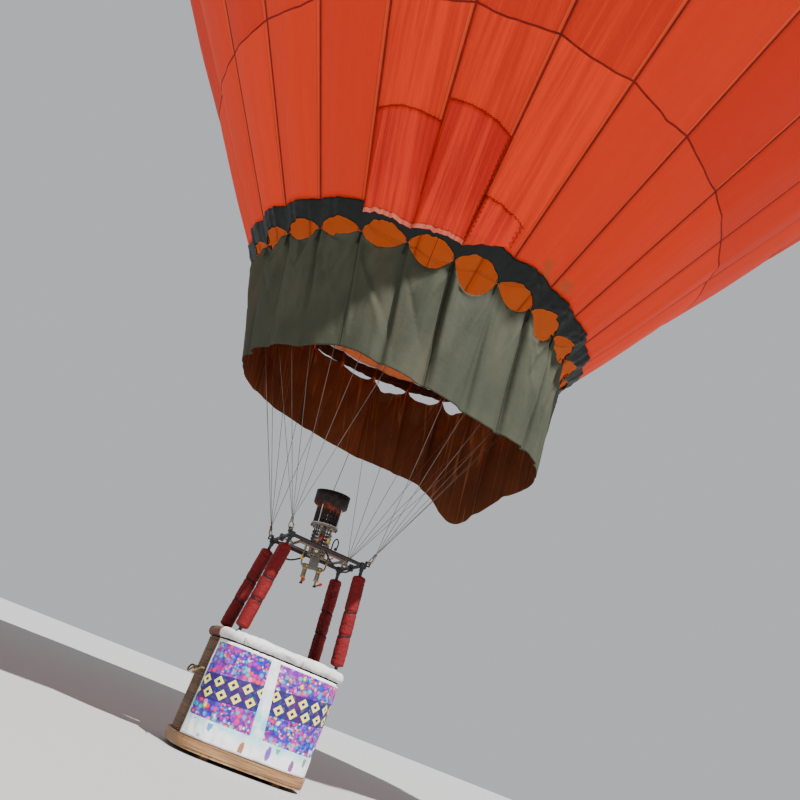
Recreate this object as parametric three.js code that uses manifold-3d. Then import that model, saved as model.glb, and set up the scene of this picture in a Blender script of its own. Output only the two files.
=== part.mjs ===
// Hot air balloon: a lobed envelope over a fire-proof skirt, a tilting burner and a wicker basket.
// Millimetres, +Z up. Heights are taken from the underside of the basket's skids, and the whole
// group is lowered at the end so that the origin is the middle of the lifted air, on the axis.
import * as THREE from "three";
import { mergeVertices } from "three/addons/utils/BufferGeometryUtils.js";
import Module from "manifold-3d";

const wasm = await Module();
wasm.setup();

// Driving sizes of the envelope
const LIFT_HEIGHT = 15150;
const GORES = 24;
const SEGMENTS_PER_GORE = 3;
const TAPE_PHASE = THREE.MathUtils.degToRad(7.2);
const SHELL = 10;
const GAP = 0.4;
const MOUTH_HEIGHT = 4550;
const MOUTH_RADIUS = 1700;
const CONE_ANGLE = THREE.MathUtils.degToRad(34.8);
const EQUATOR_RADIUS = 8100;
const DOME_RISE = 6700;
const GORE_BULGE = 0.1;
const BAND_RISE = 200;
const VENT_HOLE_RADIUS = 2300;
const VENT_RADIUS = 2650;
const VENT_CLEARANCE = 70;
const CROWN_RING_RADIUS = 150;

// Driving sizes of the skirt and of the wires
const SKIRT_DROP = 1150;
const SKIRT_RADIUS = 1570;
const SKIRT_SHIFT = { x: 150, y: -110 };
const SKIRT_SCALLOP = 130;
const SKIRT_CLOTH = 6;
// Where the skirt's hem hangs lower or is lifted: direction and spread in degrees, drop in mm.
const HEM_LOBES = [
  { toward: 32, spread: 15, drop: 380 },
  { toward: 282, spread: 24, drop: 110 },
  { toward: 233, spread: 9, drop: -50 },
  { toward: 110, spread: 60, drop: -90 },
];
const WIRE_RADIUS = 5;

// Driving sizes of the basket
const BASKET = { halfLength: 600, halfWidth: 510, power: 3.4, wall: 34 };
const SKID_RISE = 30;
const FLOOR_THICK = 22;
const BASE_RISE = 75;
const RIM_HEIGHT = 1050;
const RIM_PAD = 50;
const OUTLINE_POINTS = 48;

// Driving sizes of the uprights, the burner frame and the burner
const FRAME_HEIGHT = 2000;
const FRAME_HALF = 370;
const FRAME_TUBE = 17;
const FOOT_X = 480;
const FOOT_Y = 400;
const POLE_RADIUS = 16;
const SLEEVE_RADIUS = 68;
const GIMBAL_HALF_X = 235;
const GIMBAL_HALF_Y = 205;
const GIMBAL_TUBE = 14;
const BURNER_TILT = THREE.MathUtils.degToRad(-6);

const coneRise = (EQUATOR_RADIUS * Math.cos(CONE_ANGLE) - MOUTH_RADIUS) / Math.tan(CONE_ANGLE);
const TANGENT_HEIGHT = MOUTH_HEIGHT + coneRise;
const EQUATOR_HEIGHT = TANGENT_HEIGHT + EQUATOR_RADIUS * Math.sin(CONE_ANGLE);

// Finishes
const finish = (color, roughness, metalness = 0) =>
  new THREE.MeshStandardMaterial({ color, roughness, metalness });
const finishes = {
  orangeCloth: finish(0xdd4422, 0.55),
  darkCloth: finish(0x14201c, 0.7),
  skirtCloth: finish(0x3c4034, 0.8),
  tapeWebbing: finish(0x961e16, 0.7),
  steel: finish(0xb8b9bb, 0.3, 1),
  blackSteel: finish(0x1b1b1c, 0.5, 0.6),
  redSleeve: finish(0xc21f22, 0.6),
  whiteLeather: finish(0xe6e2dc, 0.5),
  wicker: finish(0xa9834f, 0.8),
  wood: finish(0xb08a5c, 0.7),
  banner: finish(0x7a5fc0, 0.6),
  rubber: finish(0x141414, 0.6),
  cylinder: finish(0xc9ccd0, 0.4, 0.8),
  brass: finish(0xb58a3a, 0.35, 1),
};

const balloon = new THREE.Group();
balloon.position.z = -LIFT_HEIGHT;

function add(name, geometry, material, group = balloon) {
  const mesh = new THREE.Mesh(geometry, material);
  mesh.name = name;
  group.add(mesh);
  return mesh;
}

// Joining and cutting of closed geometries
function solidOf(geometry) {
  const bare = geometry.index ? geometry.toNonIndexed() : geometry.clone();
  bare.deleteAttribute("normal");
  bare.deleteAttribute("uv");
  const merged = mergeVertices(bare, 1e-3);
  const mesh = new wasm.Mesh({
    numProp: 3,
    vertProperties: merged.attributes.position.array,
    triVerts: new Uint32Array(merged.index.array),
  });
  return new wasm.Manifold(mesh);
}

function geometryOf(solid) {
  const mesh = solid.getMesh();
  return new THREE.BufferGeometry()
    .setAttribute("position", new THREE.BufferAttribute(mesh.vertProperties, 3))
    .setIndex(new THREE.BufferAttribute(mesh.triVerts, 1));
}

const joined = (...geometries) =>
  geometryOf(geometries.map(solidOf).reduce((whole, piece) => whole.add(piece)));

const cut = (geometry, ...tools) =>
  geometryOf(tools.map(solidOf).reduce((left, tool) => left.subtract(tool), solidOf(geometry)));

// A closed body from loops of points: each loop runs anticlockwise seen from above on an outer face.
function loopBody(loops) {
  const count = loops[0].length;
  const positions = loops.flat().flatMap((point) => point.toArray());
  const faces = [];
  loops.forEach((_, row) => {
    const next = (row + 1) % loops.length;
    for (let j = 0; j < count; j++) {
      const k = (j + 1) % count;
      faces.push(row * count + j, row * count + k, next * count + k);
      faces.push(row * count + j, next * count + k, next * count + j);
    }
  });
  return new THREE.BufferGeometry()
    .setAttribute("position", new THREE.Float32BufferAttribute(positions, 3))
    .setIndex(faces);
}

// A straight round bar between two points.
function bar(from, to, radius, sides = 12) {
  const length = from.distanceTo(to);
  const turn = new THREE.Quaternion().setFromUnitVectors(
    new THREE.Vector3(0, 1, 0),
    to.clone().sub(from).normalize(),
  );
  const middle = from.clone().lerp(to, 0.5);
  return new THREE.CylinderGeometry(radius, radius, length, sides)
    .applyQuaternion(turn)
    .translate(middle.x, middle.y, middle.z);
}

const point = (x, y, z) => new THREE.Vector3(x, y, z);
const upright = (geometry) => geometry.rotateX(Math.PI / 2);
const box = (width, depth, height, x, y, z) =>
  new THREE.BoxGeometry(width, depth, height).translate(x, y, z);
const disc = (radius, height, x, y, z, sides = 24) =>
  upright(new THREE.CylinderGeometry(radius, radius, height, sides)).translate(x, y, z);
const lathe = (profile, sides) =>
  upright(new THREE.LatheGeometry(profile.map(([r, z]) => new THREE.Vector2(r, z)), sides));

// Envelope: a cone from the mouth, a round belt up to the equator, and a flatter dome on top.
function envelopeRadius(height) {
  if (height <= TANGENT_HEIGHT) {
    return MOUTH_RADIUS + (height - MOUTH_HEIGHT) * Math.tan(CONE_ANGLE);
  }
  if (height <= EQUATOR_HEIGHT) {
    return Math.sqrt(EQUATOR_RADIUS ** 2 - (EQUATOR_HEIGHT - height) ** 2);
  }
  return EQUATOR_RADIUS * Math.sqrt(1 - ((height - EQUATOR_HEIGHT) / DOME_RISE) ** 2);
}

const domeHeight = (radius) =>
  EQUATOR_HEIGHT + DOME_RISE * Math.sqrt(1 - (radius / EQUATOR_RADIUS) ** 2);

// Outward slope of the profile at a height, for the thickness of the wall.
function wallNormal(height) {
  const step = 1;
  const low = envelopeRadius(height - step);
  const high = envelopeRadius(height + step);
  const slope = (high - low) / (2 * step);
  const length = Math.hypot(1, slope);
  return { out: 1 / length, up: -slope / length };
}

// One loop of the lobed envelope, moved inwards by inset.
function goreLoop(height, inset) {
  const normal = wallNormal(height);
  const radius = envelopeRadius(height);
  const bulge = (GORE_BULGE * 2 * Math.PI * radius) / GORES;
  const count = GORES * SEGMENTS_PER_GORE;
  return Array.from({ length: count }, (_, j) => {
    const angle = TAPE_PHASE + (j * 2 * Math.PI) / count;
    const across = (j % SEGMENTS_PER_GORE) / SEGMENTS_PER_GORE;
    const out = radius + bulge * Math.sin(Math.PI * across) - inset * normal.out;
    return point(out * Math.cos(angle), out * Math.sin(angle), height - inset * normal.up);
  });
}

function envelopeSection(heights, thickness = SHELL) {
  const outer = heights.map((height) => goreLoop(height, 0));
  const inner = heights.map((height) => goreLoop(height, thickness)).reverse();
  return loopBody([...outer, ...inner]);
}

// Sections between the seams that run round: name and the heights of the rows of panels.
const HOLE_HEIGHT = domeHeight(VENT_HOLE_RADIUS);
const domeRow = (degrees) =>
  EQUATOR_HEIGHT + DOME_RISE * Math.sin(THREE.MathUtils.degToRad(degrees));
const BAND_TOP = MOUTH_HEIGHT + BAND_RISE;
const sections = [
  { name: "mouth_band", rows: [MOUTH_HEIGHT, BAND_TOP] },
  { name: "envelope_lower", rows: [BAND_TOP, 6200, 7850] },
  { name: "envelope_flank", rows: [7850, 9500, 11150] },
  { name: "envelope_belt", rows: [11150, TANGENT_HEIGHT, 12900] },
  { name: "envelope_waist", rows: [12900, 13800, 14700] },
  { name: "envelope_equator", rows: [14700, 15600, EQUATOR_HEIGHT, 17450] },
  { name: "envelope_shoulder", rows: [17450, 18400, domeRow(26)] },
  { name: "envelope_upper", rows: [domeRow(26), domeRow(36)] },
  { name: "envelope_crown_low", rows: [domeRow(36), domeRow(46)] },
  { name: "envelope_crown_middle", rows: [domeRow(46), domeRow(59)] },
  { name: "envelope_crown_high", rows: [domeRow(59), HOLE_HEIGHT] },
];
for (const { name, rows } of sections) {
  const heights = rows.map((height, i) => height + (i === 0 ? GAP : 0));
  const material = name === "mouth_band" ? finishes.darkCloth : finishes.orangeCloth;
  add(name, envelopeSection(heights), material);
}

// Parachute vent: a round panel that lies just under the hole in the crown.
function parachuteVent() {
  const rows = [0, 0.25, 0.5, 0.75, 1].map((share) => share * VENT_RADIUS);
  const heightAt = (radius) => domeHeight(radius) - SHELL - VENT_CLEARANCE;
  const top = rows.map((radius) => [radius, heightAt(radius)]);
  const underside = top.map(([radius, height]) => [radius, height - SHELL]);
  return lathe([...underside, ...top.reverse()], GORES);
}
add("parachute_vent", parachuteVent(), finishes.orangeCloth);

// Crown ring with the radial tapes that cross the vent's hole.
function crownRing() {
  const tapeWide = 46;
  const tapeThick = 8;
  const radii = [CROWN_RING_RADIUS - 30, VENT_HOLE_RADIUS * 0.5, VENT_HOLE_RADIUS - 2];
  const pieces = [];
  for (let i = 0; i < GORES; i++) {
    const shape = new THREE.Shape(radii.map((r) => new THREE.Vector2(r, domeHeight(r) - tapeThick)));
    const back = [...radii].reverse();
    back.forEach((r) => shape.lineTo(r, domeHeight(r)));
    const tape = new THREE.ExtrudeGeometry(shape, { depth: tapeWide, bevelEnabled: false });
    tape.translate(0, 0, -tapeWide / 2).rotateX(Math.PI / 2);
    tape.rotateZ(TAPE_PHASE + (i * 2 * Math.PI) / GORES);
    pieces.push(tape);
  }
  const top = domeHeight(0);
  const ring = lathe(
    [
      [CROWN_RING_RADIUS - 35, top - 22],
      [CROWN_RING_RADIUS + 25, top - 22],
      [CROWN_RING_RADIUS + 25, top + 8],
      [CROWN_RING_RADIUS - 35, top + 8],
      [CROWN_RING_RADIUS - 35, top - 22],
    ],
    24,
  );
  return joined(ring, ...pieces);
}
add("crown_ring_tapes", crownRing(), finishes.tapeWebbing);

// Skirt: a cloth tube hung from the tape ends. Its top edge sags between them, and its hem hangs
// a little to one side, lower in some places than in others.
function hemDrop(angle) {
  return HEM_LOBES.reduce((sum, { toward, spread, drop }) => {
    const away = ((THREE.MathUtils.radToDeg(angle) - toward + 540) % 360) - 180;
    return sum + drop * Math.exp(-((away / spread) ** 2));
  }, 0);
}

function skirtLoop(share, inset) {
  const perGore = 3;
  const count = GORES * perGore;
  const out = THREE.MathUtils.lerp(MOUTH_RADIUS - 4, SKIRT_RADIUS, share) - inset;
  return Array.from({ length: count }, (_, j) => {
    const angle = TAPE_PHASE + (j * 2 * Math.PI) / count;
    const across = Math.sin((Math.PI * (j % perGore)) / perGore);
    const length = SKIRT_DROP - SKIRT_SCALLOP * across + hemDrop(angle);
    return point(
      out * Math.cos(angle) + share * SKIRT_SHIFT.x,
      out * Math.sin(angle) + share * SKIRT_SHIFT.y,
      MOUTH_HEIGHT - 4 - SKIRT_SCALLOP * across - share * length,
    );
  });
}

function skirt() {
  const shares = [1, 0.5, 0];
  const outer = shares.map((share) => skirtLoop(share, 0));
  const inner = shares.map((share) => skirtLoop(share, SKIRT_CLOTH)).reverse();
  return loopBody([...outer, ...inner]);
}
add("skirt", skirt(), finishes.skirtCloth);

// Flying wires: six to each corner of the burner frame, gathered in a karabiner ring.
const corners = [
  { name: "front_left", x: -1, y: -1 },
  { name: "front_right", x: 1, y: -1 },
  { name: "back_right", x: 1, y: 1 },
  { name: "back_left", x: -1, y: 1 },
];
const wiresPerCorner = GORES / corners.length;
const LUG = { reach: 46, rise: 26, hole: 15, thick: 10 };
const KARABINER = { radius: 34, tube: 6 };
const WIRE_INSET = 28;

// The point of a frame corner's lug hole, and the way from there to the gathered wires.
function lugHole({ x, y }) {
  const out = LUG.reach / Math.SQRT2;
  return point(x * (FRAME_HALF + out), y * (FRAME_HALF + out), FRAME_HEIGHT + LUG.rise);
}

function wireFan(corner) {
  const hole = lugHole(corner);
  const middle = Math.atan2(corner.y, corner.x);
  const outward = point(Math.cos(middle), Math.sin(middle), 0);
  const across = point(-Math.sin(middle), Math.cos(middle), 0);
  const lean = outward.clone().multiplyScalar(0.42).add(point(0, 0, 1)).normalize();
  const facing = new THREE.Matrix4().makeBasis(lean, across, lean.clone().cross(across));
  const centre = hole.clone().addScaledVector(lean, KARABINER.radius);
  const karabiner = new THREE.TorusGeometry(KARABINER.radius, KARABINER.tube, 6, 14)
    .applyMatrix4(facing)
    .translate(centre.x, centre.y, centre.z);
  const low = centre.clone().addScaledVector(lean, KARABINER.radius - KARABINER.tube);
  const eye = low.clone().addScaledVector(lean, 46);
  const pieces = [karabiner, bar(low, eye, 15, 10)];
  const first = Math.ceil(((middle - Math.PI / 4 - TAPE_PHASE) * GORES) / (2 * Math.PI));
  for (let i = 0; i < wiresPerCorner; i++) {
    const angle = TAPE_PHASE + ((first + i) * 2 * Math.PI) / GORES;
    const radius = MOUTH_RADIUS - WIRE_INSET;
    const end = point(radius * Math.cos(angle), radius * Math.sin(angle), MOUTH_HEIGHT + 6);
    const start = eye.clone().addScaledVector(lean, -14);
    pieces.push(bar(start, end, WIRE_RADIUS, 6));
  }
  return joined(...pieces);
}
for (const corner of corners) {
  add(`flying_wires_${corner.name}`, wireFan(corner), finishes.steel);
}

// Basket outline: a rounded oblong with bowed sides.
function basketPoint(share, grow = 0) {
  const angle = share * 2 * Math.PI;
  const c = Math.cos(angle);
  const s = Math.sin(angle);
  const bend = 2 / BASKET.power;
  return new THREE.Vector2(
    Math.sign(c) * Math.abs(c) ** bend * (BASKET.halfLength + grow),
    Math.sign(s) * Math.abs(s) ** bend * (BASKET.halfWidth + grow),
  );
}

const outline = (grow) =>
  Array.from({ length: OUTLINE_POINTS }, (_, i) => basketPoint(i / OUTLINE_POINTS, grow));

function ringPlate(growOut, growIn, low, high) {
  const shape = new THREE.Shape(outline(growOut));
  shape.holes.push(new THREE.Path(outline(growIn)));
  const plate = new THREE.ExtrudeGeometry(shape, { depth: high - low, bevelEnabled: false });
  return plate.translate(0, 0, low);
}

const WALL_LOW = SKID_RISE + FLOOR_THICK;
const WALL_HIGH = RIM_HEIGHT - 2 * RIM_PAD;
add("basket_wall", ringPlate(0, -BASKET.wall, WALL_LOW + GAP, WALL_HIGH), finishes.wicker);

const floorShape = new THREE.Shape(outline(14));
const floorPlate = new THREE.ExtrudeGeometry(floorShape, { depth: FLOOR_THICK, bevelEnabled: false });
add("basket_floor", floorPlate.translate(0, 0, SKID_RISE), finishes.wood);
add("basket_base_frame", ringPlate(20, GAP, WALL_LOW + GAP, WALL_LOW + BASE_RISE), finishes.wood);

// Padded rim: a fat tube that sits on the wall.
function basketRim() {
  const sides = 10;
  const loops = [];
  for (let k = 0; k < sides; k++) {
    const turn = -Math.PI / 2 + (k * 2 * Math.PI) / sides + Math.PI / sides;
    const grow = -BASKET.wall / 2 + RIM_PAD * Math.cos(turn);
    const height = RIM_HEIGHT - RIM_PAD + (RIM_PAD - 1) * Math.sin(turn);
    loops.push(outline(grow).map((p) => point(p.x, p.y, height)));
  }
  return loopBody(loops);
}

// Two skids under the floor.
for (const [name, side] of [["skid_left", -1], ["skid_right", 1]]) {
  add(name, box(70, 820, SKID_RISE - GAP, side * 330, 0, (SKID_RISE - GAP) / 2), finishes.wood);
}

// Banner: a cloth wrapped round the front and the right-hand end of the basket.
function banner() {
  const thick = 4;
  const low = WALL_LOW + BASE_RISE + 4;
  const high = WALL_HIGH - 8;
  const first = Math.round(0.5625 * OUTLINE_POINTS);
  const last = Math.round(1.0625 * OUTLINE_POINTS);
  const count = last - first;
  const shares = Array.from({ length: count + 1 }, (_, i) => (first + i) / OUTLINE_POINTS);
  const outer = shares.map((share) => basketPoint(share, GAP + thick));
  const inner = shares.map((share) => basketPoint(share, GAP)).reverse();
  const shape = new THREE.Shape([...outer, ...inner]);
  const cloth = new THREE.ExtrudeGeometry(shape, { depth: high - low, bevelEnabled: false });
  return cloth.translate(0, 0, low);
}
add("banner", banner(), finishes.banner);

// Uprights: a pole from the wall's top, through the rim, to each corner of the burner frame.
// A padded sleeve hides most of it.
const poleFoot = ({ x, y }) => point(x * FOOT_X, y * FOOT_Y, WALL_HIGH + 4);
const poleHead = ({ x, y }) => point(x * FRAME_HALF, y * FRAME_HALF, FRAME_HEIGHT - 40);
const poleHoles = [];
for (const corner of corners) {
  const foot = poleFoot(corner);
  const head = poleHead(corner);
  const along = (share) => foot.clone().lerp(head, share);
  const cap = disc(POLE_RADIUS + 5, 28, head.x, head.y, FRAME_HEIGHT - 25 - GAP - 14, 12);
  add(`upright_pole_${corner.name}`, joined(bar(foot, head, POLE_RADIUS, 10), cap), finishes.blackSteel);
  const sleeve = cut(
    bar(along(0.125), along(0.94), SLEEVE_RADIUS, 14),
    bar(along(0), along(1), POLE_RADIUS + 1.5, 10),
  );
  add(`upright_sleeve_${corner.name}`, sleeve, finishes.redSleeve);
  poleHoles.push(bar(along(-0.05), along(0.3), POLE_RADIUS + 1, 10));
}
add("basket_rim", cut(basketRim(), ...poleHoles), finishes.whiteLeather);

// Burner frame: a square of tube with a block at each corner, a lug for the karabiner and
// two bearings for the gimbal.
function frameCorner(corner) {
  const block = box(56, 56, 50, corner.x * FRAME_HALF, corner.y * FRAME_HALF, FRAME_HEIGHT);
  const hole = lugHole(corner);
  const middle = Math.atan2(corner.y, corner.x);
  const turned = (geometry) => geometry.rotateZ(middle).translate(hole.x, hole.y, hole.z);
  const lug = turned(box(56, LUG.thick, 50, -6, 0, -2));
  const opening = turned(new THREE.CylinderGeometry(LUG.hole, LUG.hole, 40, 10));
  return cut(joined(block, lug), opening);
}

function burnerFrame() {
  const tubes = corners.map((corner, i) => {
    const next = corners[(i + 1) % corners.length];
    return bar(
      point(corner.x * FRAME_HALF, corner.y * FRAME_HALF, FRAME_HEIGHT),
      point(next.x * FRAME_HALF, next.y * FRAME_HALF, FRAME_HEIGHT),
      FRAME_TUBE,
      10,
    );
  });
  const bearings = [-1, 1].map((side) => box(44, 60, 60, side * FRAME_HALF, 0, FRAME_HEIGHT));
  const pinReach = FRAME_HALF + 30;
  const pinHole = bar(point(-pinReach, 0, FRAME_HEIGHT), point(pinReach, 0, FRAME_HEIGHT), 10.5, 12);
  return cut(joined(...tubes, ...corners.map(frameCorner), ...bearings), pinHole);
}
add("burner_frame", burnerFrame(), finishes.blackSteel);

// Gimbal: a ring that tips about the X pins, and holds the burner's own pins on Y.
const gimbal = new THREE.Group();
gimbal.position.z = FRAME_HEIGHT;
balloon.add(gimbal);
function gimbalRing() {
  const cornersXY = [[-1, -1], [1, -1], [1, 1], [-1, 1]];
  const pieces = cornersXY.map(([x, y], i) => {
    const [nx, ny] = cornersXY[(i + 1) % 4];
    return bar(
      point(x * GIMBAL_HALF_X, y * GIMBAL_HALF_Y, 0),
      point(nx * GIMBAL_HALF_X, ny * GIMBAL_HALF_Y, 0),
      GIMBAL_TUBE,
      10,
    );
  });
  const knots = cornersXY.map(([x, y]) =>
    new THREE.SphereGeometry(GIMBAL_TUBE + 1, 10, 6).translate(x * GIMBAL_HALF_X, y * GIMBAL_HALF_Y, 0));
  const pins = [-1, 1].map((side) =>
    bar(point(side * GIMBAL_HALF_X, 0, 0), point(side * (FRAME_HALF + 20), 0, 0), 10, 12));
  const housings = [-1, 1].map((side) => box(52, 40, 46, 0, side * GIMBAL_HALF_Y, 0));
  const pinHole = bar(point(0, -GIMBAL_HALF_Y - 40, 0), point(0, GIMBAL_HALF_Y + 40, 0), 9.5, 12);
  return cut(joined(...pieces, ...knots, ...pins, ...housings), pinHole);
}
add("gimbal_ring", gimbalRing(), finishes.steel, gimbal);

// Burner: valve block on the Y pins, a vaporising coil, and a slotted can with a flared top.
const burner = new THREE.Group();
burner.rotation.y = BURNER_TILT;
gimbal.add(burner);
const CAN = { low: 262, flareLow: 470, high: 590, radius: 122, flare: 168, wall: 5 };
const COIL = { radius: 92, tube: 10, low: 84, pitch: 34, turns: 4 };

function valveBlock() {
  const pins = bar(point(0, -GIMBAL_HALF_Y - 18, 0), point(0, GIMBAL_HALF_Y + 18, 0), 9, 12);
  const body = box(150, 104, 84, 0, 0, 0);
  const neck = box(80, 64, 100, 0, 0, -84);
  const manifold = box(190, 44, 38, 0, 0, -146);
  const valves = [-1, 1].map((side) => disc(22, 110, side * 68, 0, -196, 12));
  const spindles = [-1, 1].map((side) => disc(9, 60, side * 68, 0, -272, 10));
  const pilot = bar(point(0, 20, -150), point(0, 92, -150), 11, 10);
  return joined(body, neck, pins, manifold, pilot, ...valves, ...spindles);
}
add("burner_valve_block", valveBlock(), finishes.steel, burner);

// Blast levers: a bent bar under each valve.
for (const [name, side] of [["blast_lever_left", -1], ["blast_lever_right", 1]]) {
  const hub = disc(16, 16, side * 68, 0, -311, 12);
  const arm = bar(point(side * 68, 0, -311), point(side * 82, -118, -296), 7, 8);
  const grip = bar(point(side * 82, -112, -297), point(side * 86, -150, -292), 11, 8);
  add(name, joined(hub, arm, grip), finishes.blackSteel, burner);
}

function basePlate() {
  const plate = disc(CAN.radius + 14, 16, 0, 0, CAN.low - 9, 24);
  const column = disc(30, CAN.low - 55, 0, 0, 42.4 + (CAN.low - 55) / 2, 14);
  return joined(plate, column);
}
add("burner_base_plate", basePlate(), finishes.steel, burner);

function vaporisingCoil() {
  const rings = Array.from({ length: COIL.turns }, (_, i) =>
    new THREE.TorusGeometry(COIL.radius, COIL.tube, 6, 18).translate(0, 0, COIL.low + i * COIL.pitch));
  const risers = [0, 1, 2].map((i) => {
    const angle = (i * 2 * Math.PI) / 3 + 0.4;
    const x = COIL.radius * Math.cos(angle);
    const y = COIL.radius * Math.sin(angle);
    return bar(point(x, y, COIL.low - 10), point(x, y, CAN.low - 30), 8, 6);
  });
  const feed = bar(point(COIL.radius, 0, COIL.low), point(COIL.radius - 40, 0, 52), 8, 8);
  return joined(...rings, ...risers, feed);
}
add("burner_coil", vaporisingCoil(), finishes.steel, burner);

function burnerCan() {
  const inner = CAN.radius - CAN.wall;
  const innerFlare = CAN.flare - CAN.wall;
  const shell = lathe(
    [
      [inner, CAN.low],
      [CAN.radius, CAN.low],
      [CAN.radius, CAN.flareLow - 30],
      [CAN.flare, CAN.flareLow],
      [CAN.flare, CAN.high],
      [innerFlare, CAN.high],
      [innerFlare, CAN.flareLow + 3],
      [inner, CAN.flareLow - 27],
      [inner, CAN.low],
    ],
    24,
  );
  const slotCount = 6;
  const slotRise = CAN.flareLow - CAN.low - 84;
  const slotMiddle = (CAN.flareLow + CAN.low) / 2 - 16;
  const slots = Array.from({ length: slotCount }, (_, i) =>
    box(3 * CAN.radius, 24, slotRise, 0, 0, slotMiddle).rotateZ((i * Math.PI) / slotCount + 0.13));
  return cut(shell, ...slots);
}
add("burner_can", burnerCan(), finishes.blackSteel, burner);

// Side rods that brace the can's flare against the base plate.
[45, 135, 225, 315].forEach((degrees, i) => {
  const angle = THREE.MathUtils.degToRad(degrees);
  const at = (radius, height) => point(radius * Math.cos(angle), radius * Math.sin(angle), height);
  const rod = bar(at(CAN.radius + 8, CAN.low + 1), at(CAN.radius + 18, CAN.flareLow - 24), 5, 8);
  add(`burner_rod_${i + 1}`, rod, finishes.steel, burner);
});

// Fuel hoses: from the frame's back corners to the swivels on the gimbal's Y pins.
const hoseRoutes = [
  { name: "fuel_hose_front", side: -1, across: 1 },
  { name: "fuel_hose_back", side: 1, across: -1 },
];
for (const { name, side, across } of hoseRoutes) {
  const swivel = GIMBAL_HALF_Y + 32;
  const route = new THREE.CatmullRomCurve3([
    point(0, side * swivel, FRAME_HEIGHT),
    point(across * 6, side * (swivel + 36), FRAME_HEIGHT),
    point(across * 60, side * (swivel + 70), FRAME_HEIGHT - 60),
    point(across * 170, side * (swivel + 74), FRAME_HEIGHT - 120),
    point(across * 262, side * (swivel + 62), FRAME_HEIGHT - 104),
    point(across * 305, side * (swivel + 52), FRAME_HEIGHT - 46),
    point(across * 312, side * (swivel + 50), FRAME_HEIGHT - 22),
  ]);
  const ring = Array.from({ length: 8 }, (_, i) => {
    const angle = (i * 2 * Math.PI) / 8;
    return new THREE.Vector2(8 * Math.cos(angle), 8 * Math.sin(angle));
  });
  const hose = new THREE.ExtrudeGeometry(new THREE.Shape(ring), { steps: 20, extrudePath: route });
  add(name, hose, finishes.rubber);
}

// Fuel cylinders in the two back corners of the basket, each with a collar and a valve.
for (const [name, side] of [["left", -1], ["right", 1]]) {
  const x = side * 352;
  const y = 268;
  const low = WALL_LOW + GAP;
  const body = lathe(
    [
      [0, low],
      [118, low],
      [150, low + 40],
      [150, low + 640],
      [118, low + 705],
      [40, low + 728],
      [0, low + 730],
    ],
    24,
  );
  const collar = lathe(
    [
      [96, low + 690],
      [102, low + 690],
      [102, low + 800],
      [96, low + 800],
      [96, low + 690],
    ],
    20,
  );
  const doorway = box(80, 90, 60, 0, -100, low + 762);
  const bodyWithCollar = joined(body, cut(collar, doorway));
  add(`fuel_cylinder_${name}`, bodyWithCollar.translate(x, y, 0), finishes.cylinder);
  const stem = disc(16, 44, 0, 0, low + 731 + 22, 10);
  const outlet = bar(point(0, 0, low + 758), point(0, -58, low + 758), 11, 10);
  const wheel = disc(30, 12, 0, 0, low + 780, 12);
  add(`fuel_valve_${name}`, joined(stem, outlet, wheel).translate(x, y, 0), finishes.brass);
}

export default balloon;
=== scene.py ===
# Hot air balloon: the imported model, dressed with cloth, wicker, leather and metal.

# %% [markdown]
# # A hot air balloon in Blender
# The hard shapes come from a CAD model that is loaded first and never moved. Everything soft or
# finely detailed is made here, in metres, in the same frame, and most of it rides on one of the
# CAD's bodies.

# %% Loading the CAD model
import math

import bpy
import numpy as np
from mathutils import Matrix, Vector


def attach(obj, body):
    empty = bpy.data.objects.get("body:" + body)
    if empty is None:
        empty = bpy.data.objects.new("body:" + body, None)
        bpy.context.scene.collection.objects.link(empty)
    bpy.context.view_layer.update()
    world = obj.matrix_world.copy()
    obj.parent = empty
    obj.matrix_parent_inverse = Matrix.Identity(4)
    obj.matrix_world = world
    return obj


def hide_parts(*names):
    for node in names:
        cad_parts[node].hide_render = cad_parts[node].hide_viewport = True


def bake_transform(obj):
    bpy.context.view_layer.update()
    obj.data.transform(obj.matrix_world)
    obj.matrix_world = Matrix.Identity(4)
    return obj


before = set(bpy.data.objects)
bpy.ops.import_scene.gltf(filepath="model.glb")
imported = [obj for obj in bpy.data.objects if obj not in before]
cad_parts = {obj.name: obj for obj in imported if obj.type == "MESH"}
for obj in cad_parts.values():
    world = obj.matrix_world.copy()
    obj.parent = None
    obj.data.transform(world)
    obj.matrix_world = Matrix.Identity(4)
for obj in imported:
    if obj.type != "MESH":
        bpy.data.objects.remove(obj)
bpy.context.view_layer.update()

# %% [markdown]
# ## Heights
# The origin is the middle of the lifted air. It is easier to think in heights above the underside
# of the basket, so one small function turns such a height into a z of the frame. The edges of the
# basket's wall and the burner frame's height and half width serve several pieces.

# %% Heights above the basket's underside
UNDERSIDE = -15.15
TURN = 2 * math.pi
WALL_LOW, WALL_HIGH = 0.052, 0.95
FRAME_Z, FRAME_HALF = 2.0, 0.37


def up(height):
    return height + UNDERSIDE


# %% [markdown]
# ## The camera
# The picture is taken standing close by and looking up, with the camera rolled, so that an upright
# balloon seems to lean. Three angles give the viewing direction, and the roll turns the frame.

# %% Camera
def linked(name, data):
    """A new object of the scene for this data."""
    made = bpy.data.objects.new(name, data)
    bpy.context.scene.collection.objects.link(made)
    return made


def direction(azimuth, elevation):
    """The unit vector towards two angles in degrees."""
    a, e = math.radians(azimuth), math.radians(elevation)
    return np.array([math.cos(e) * math.cos(a), math.cos(e) * math.sin(a), math.sin(e)])


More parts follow.
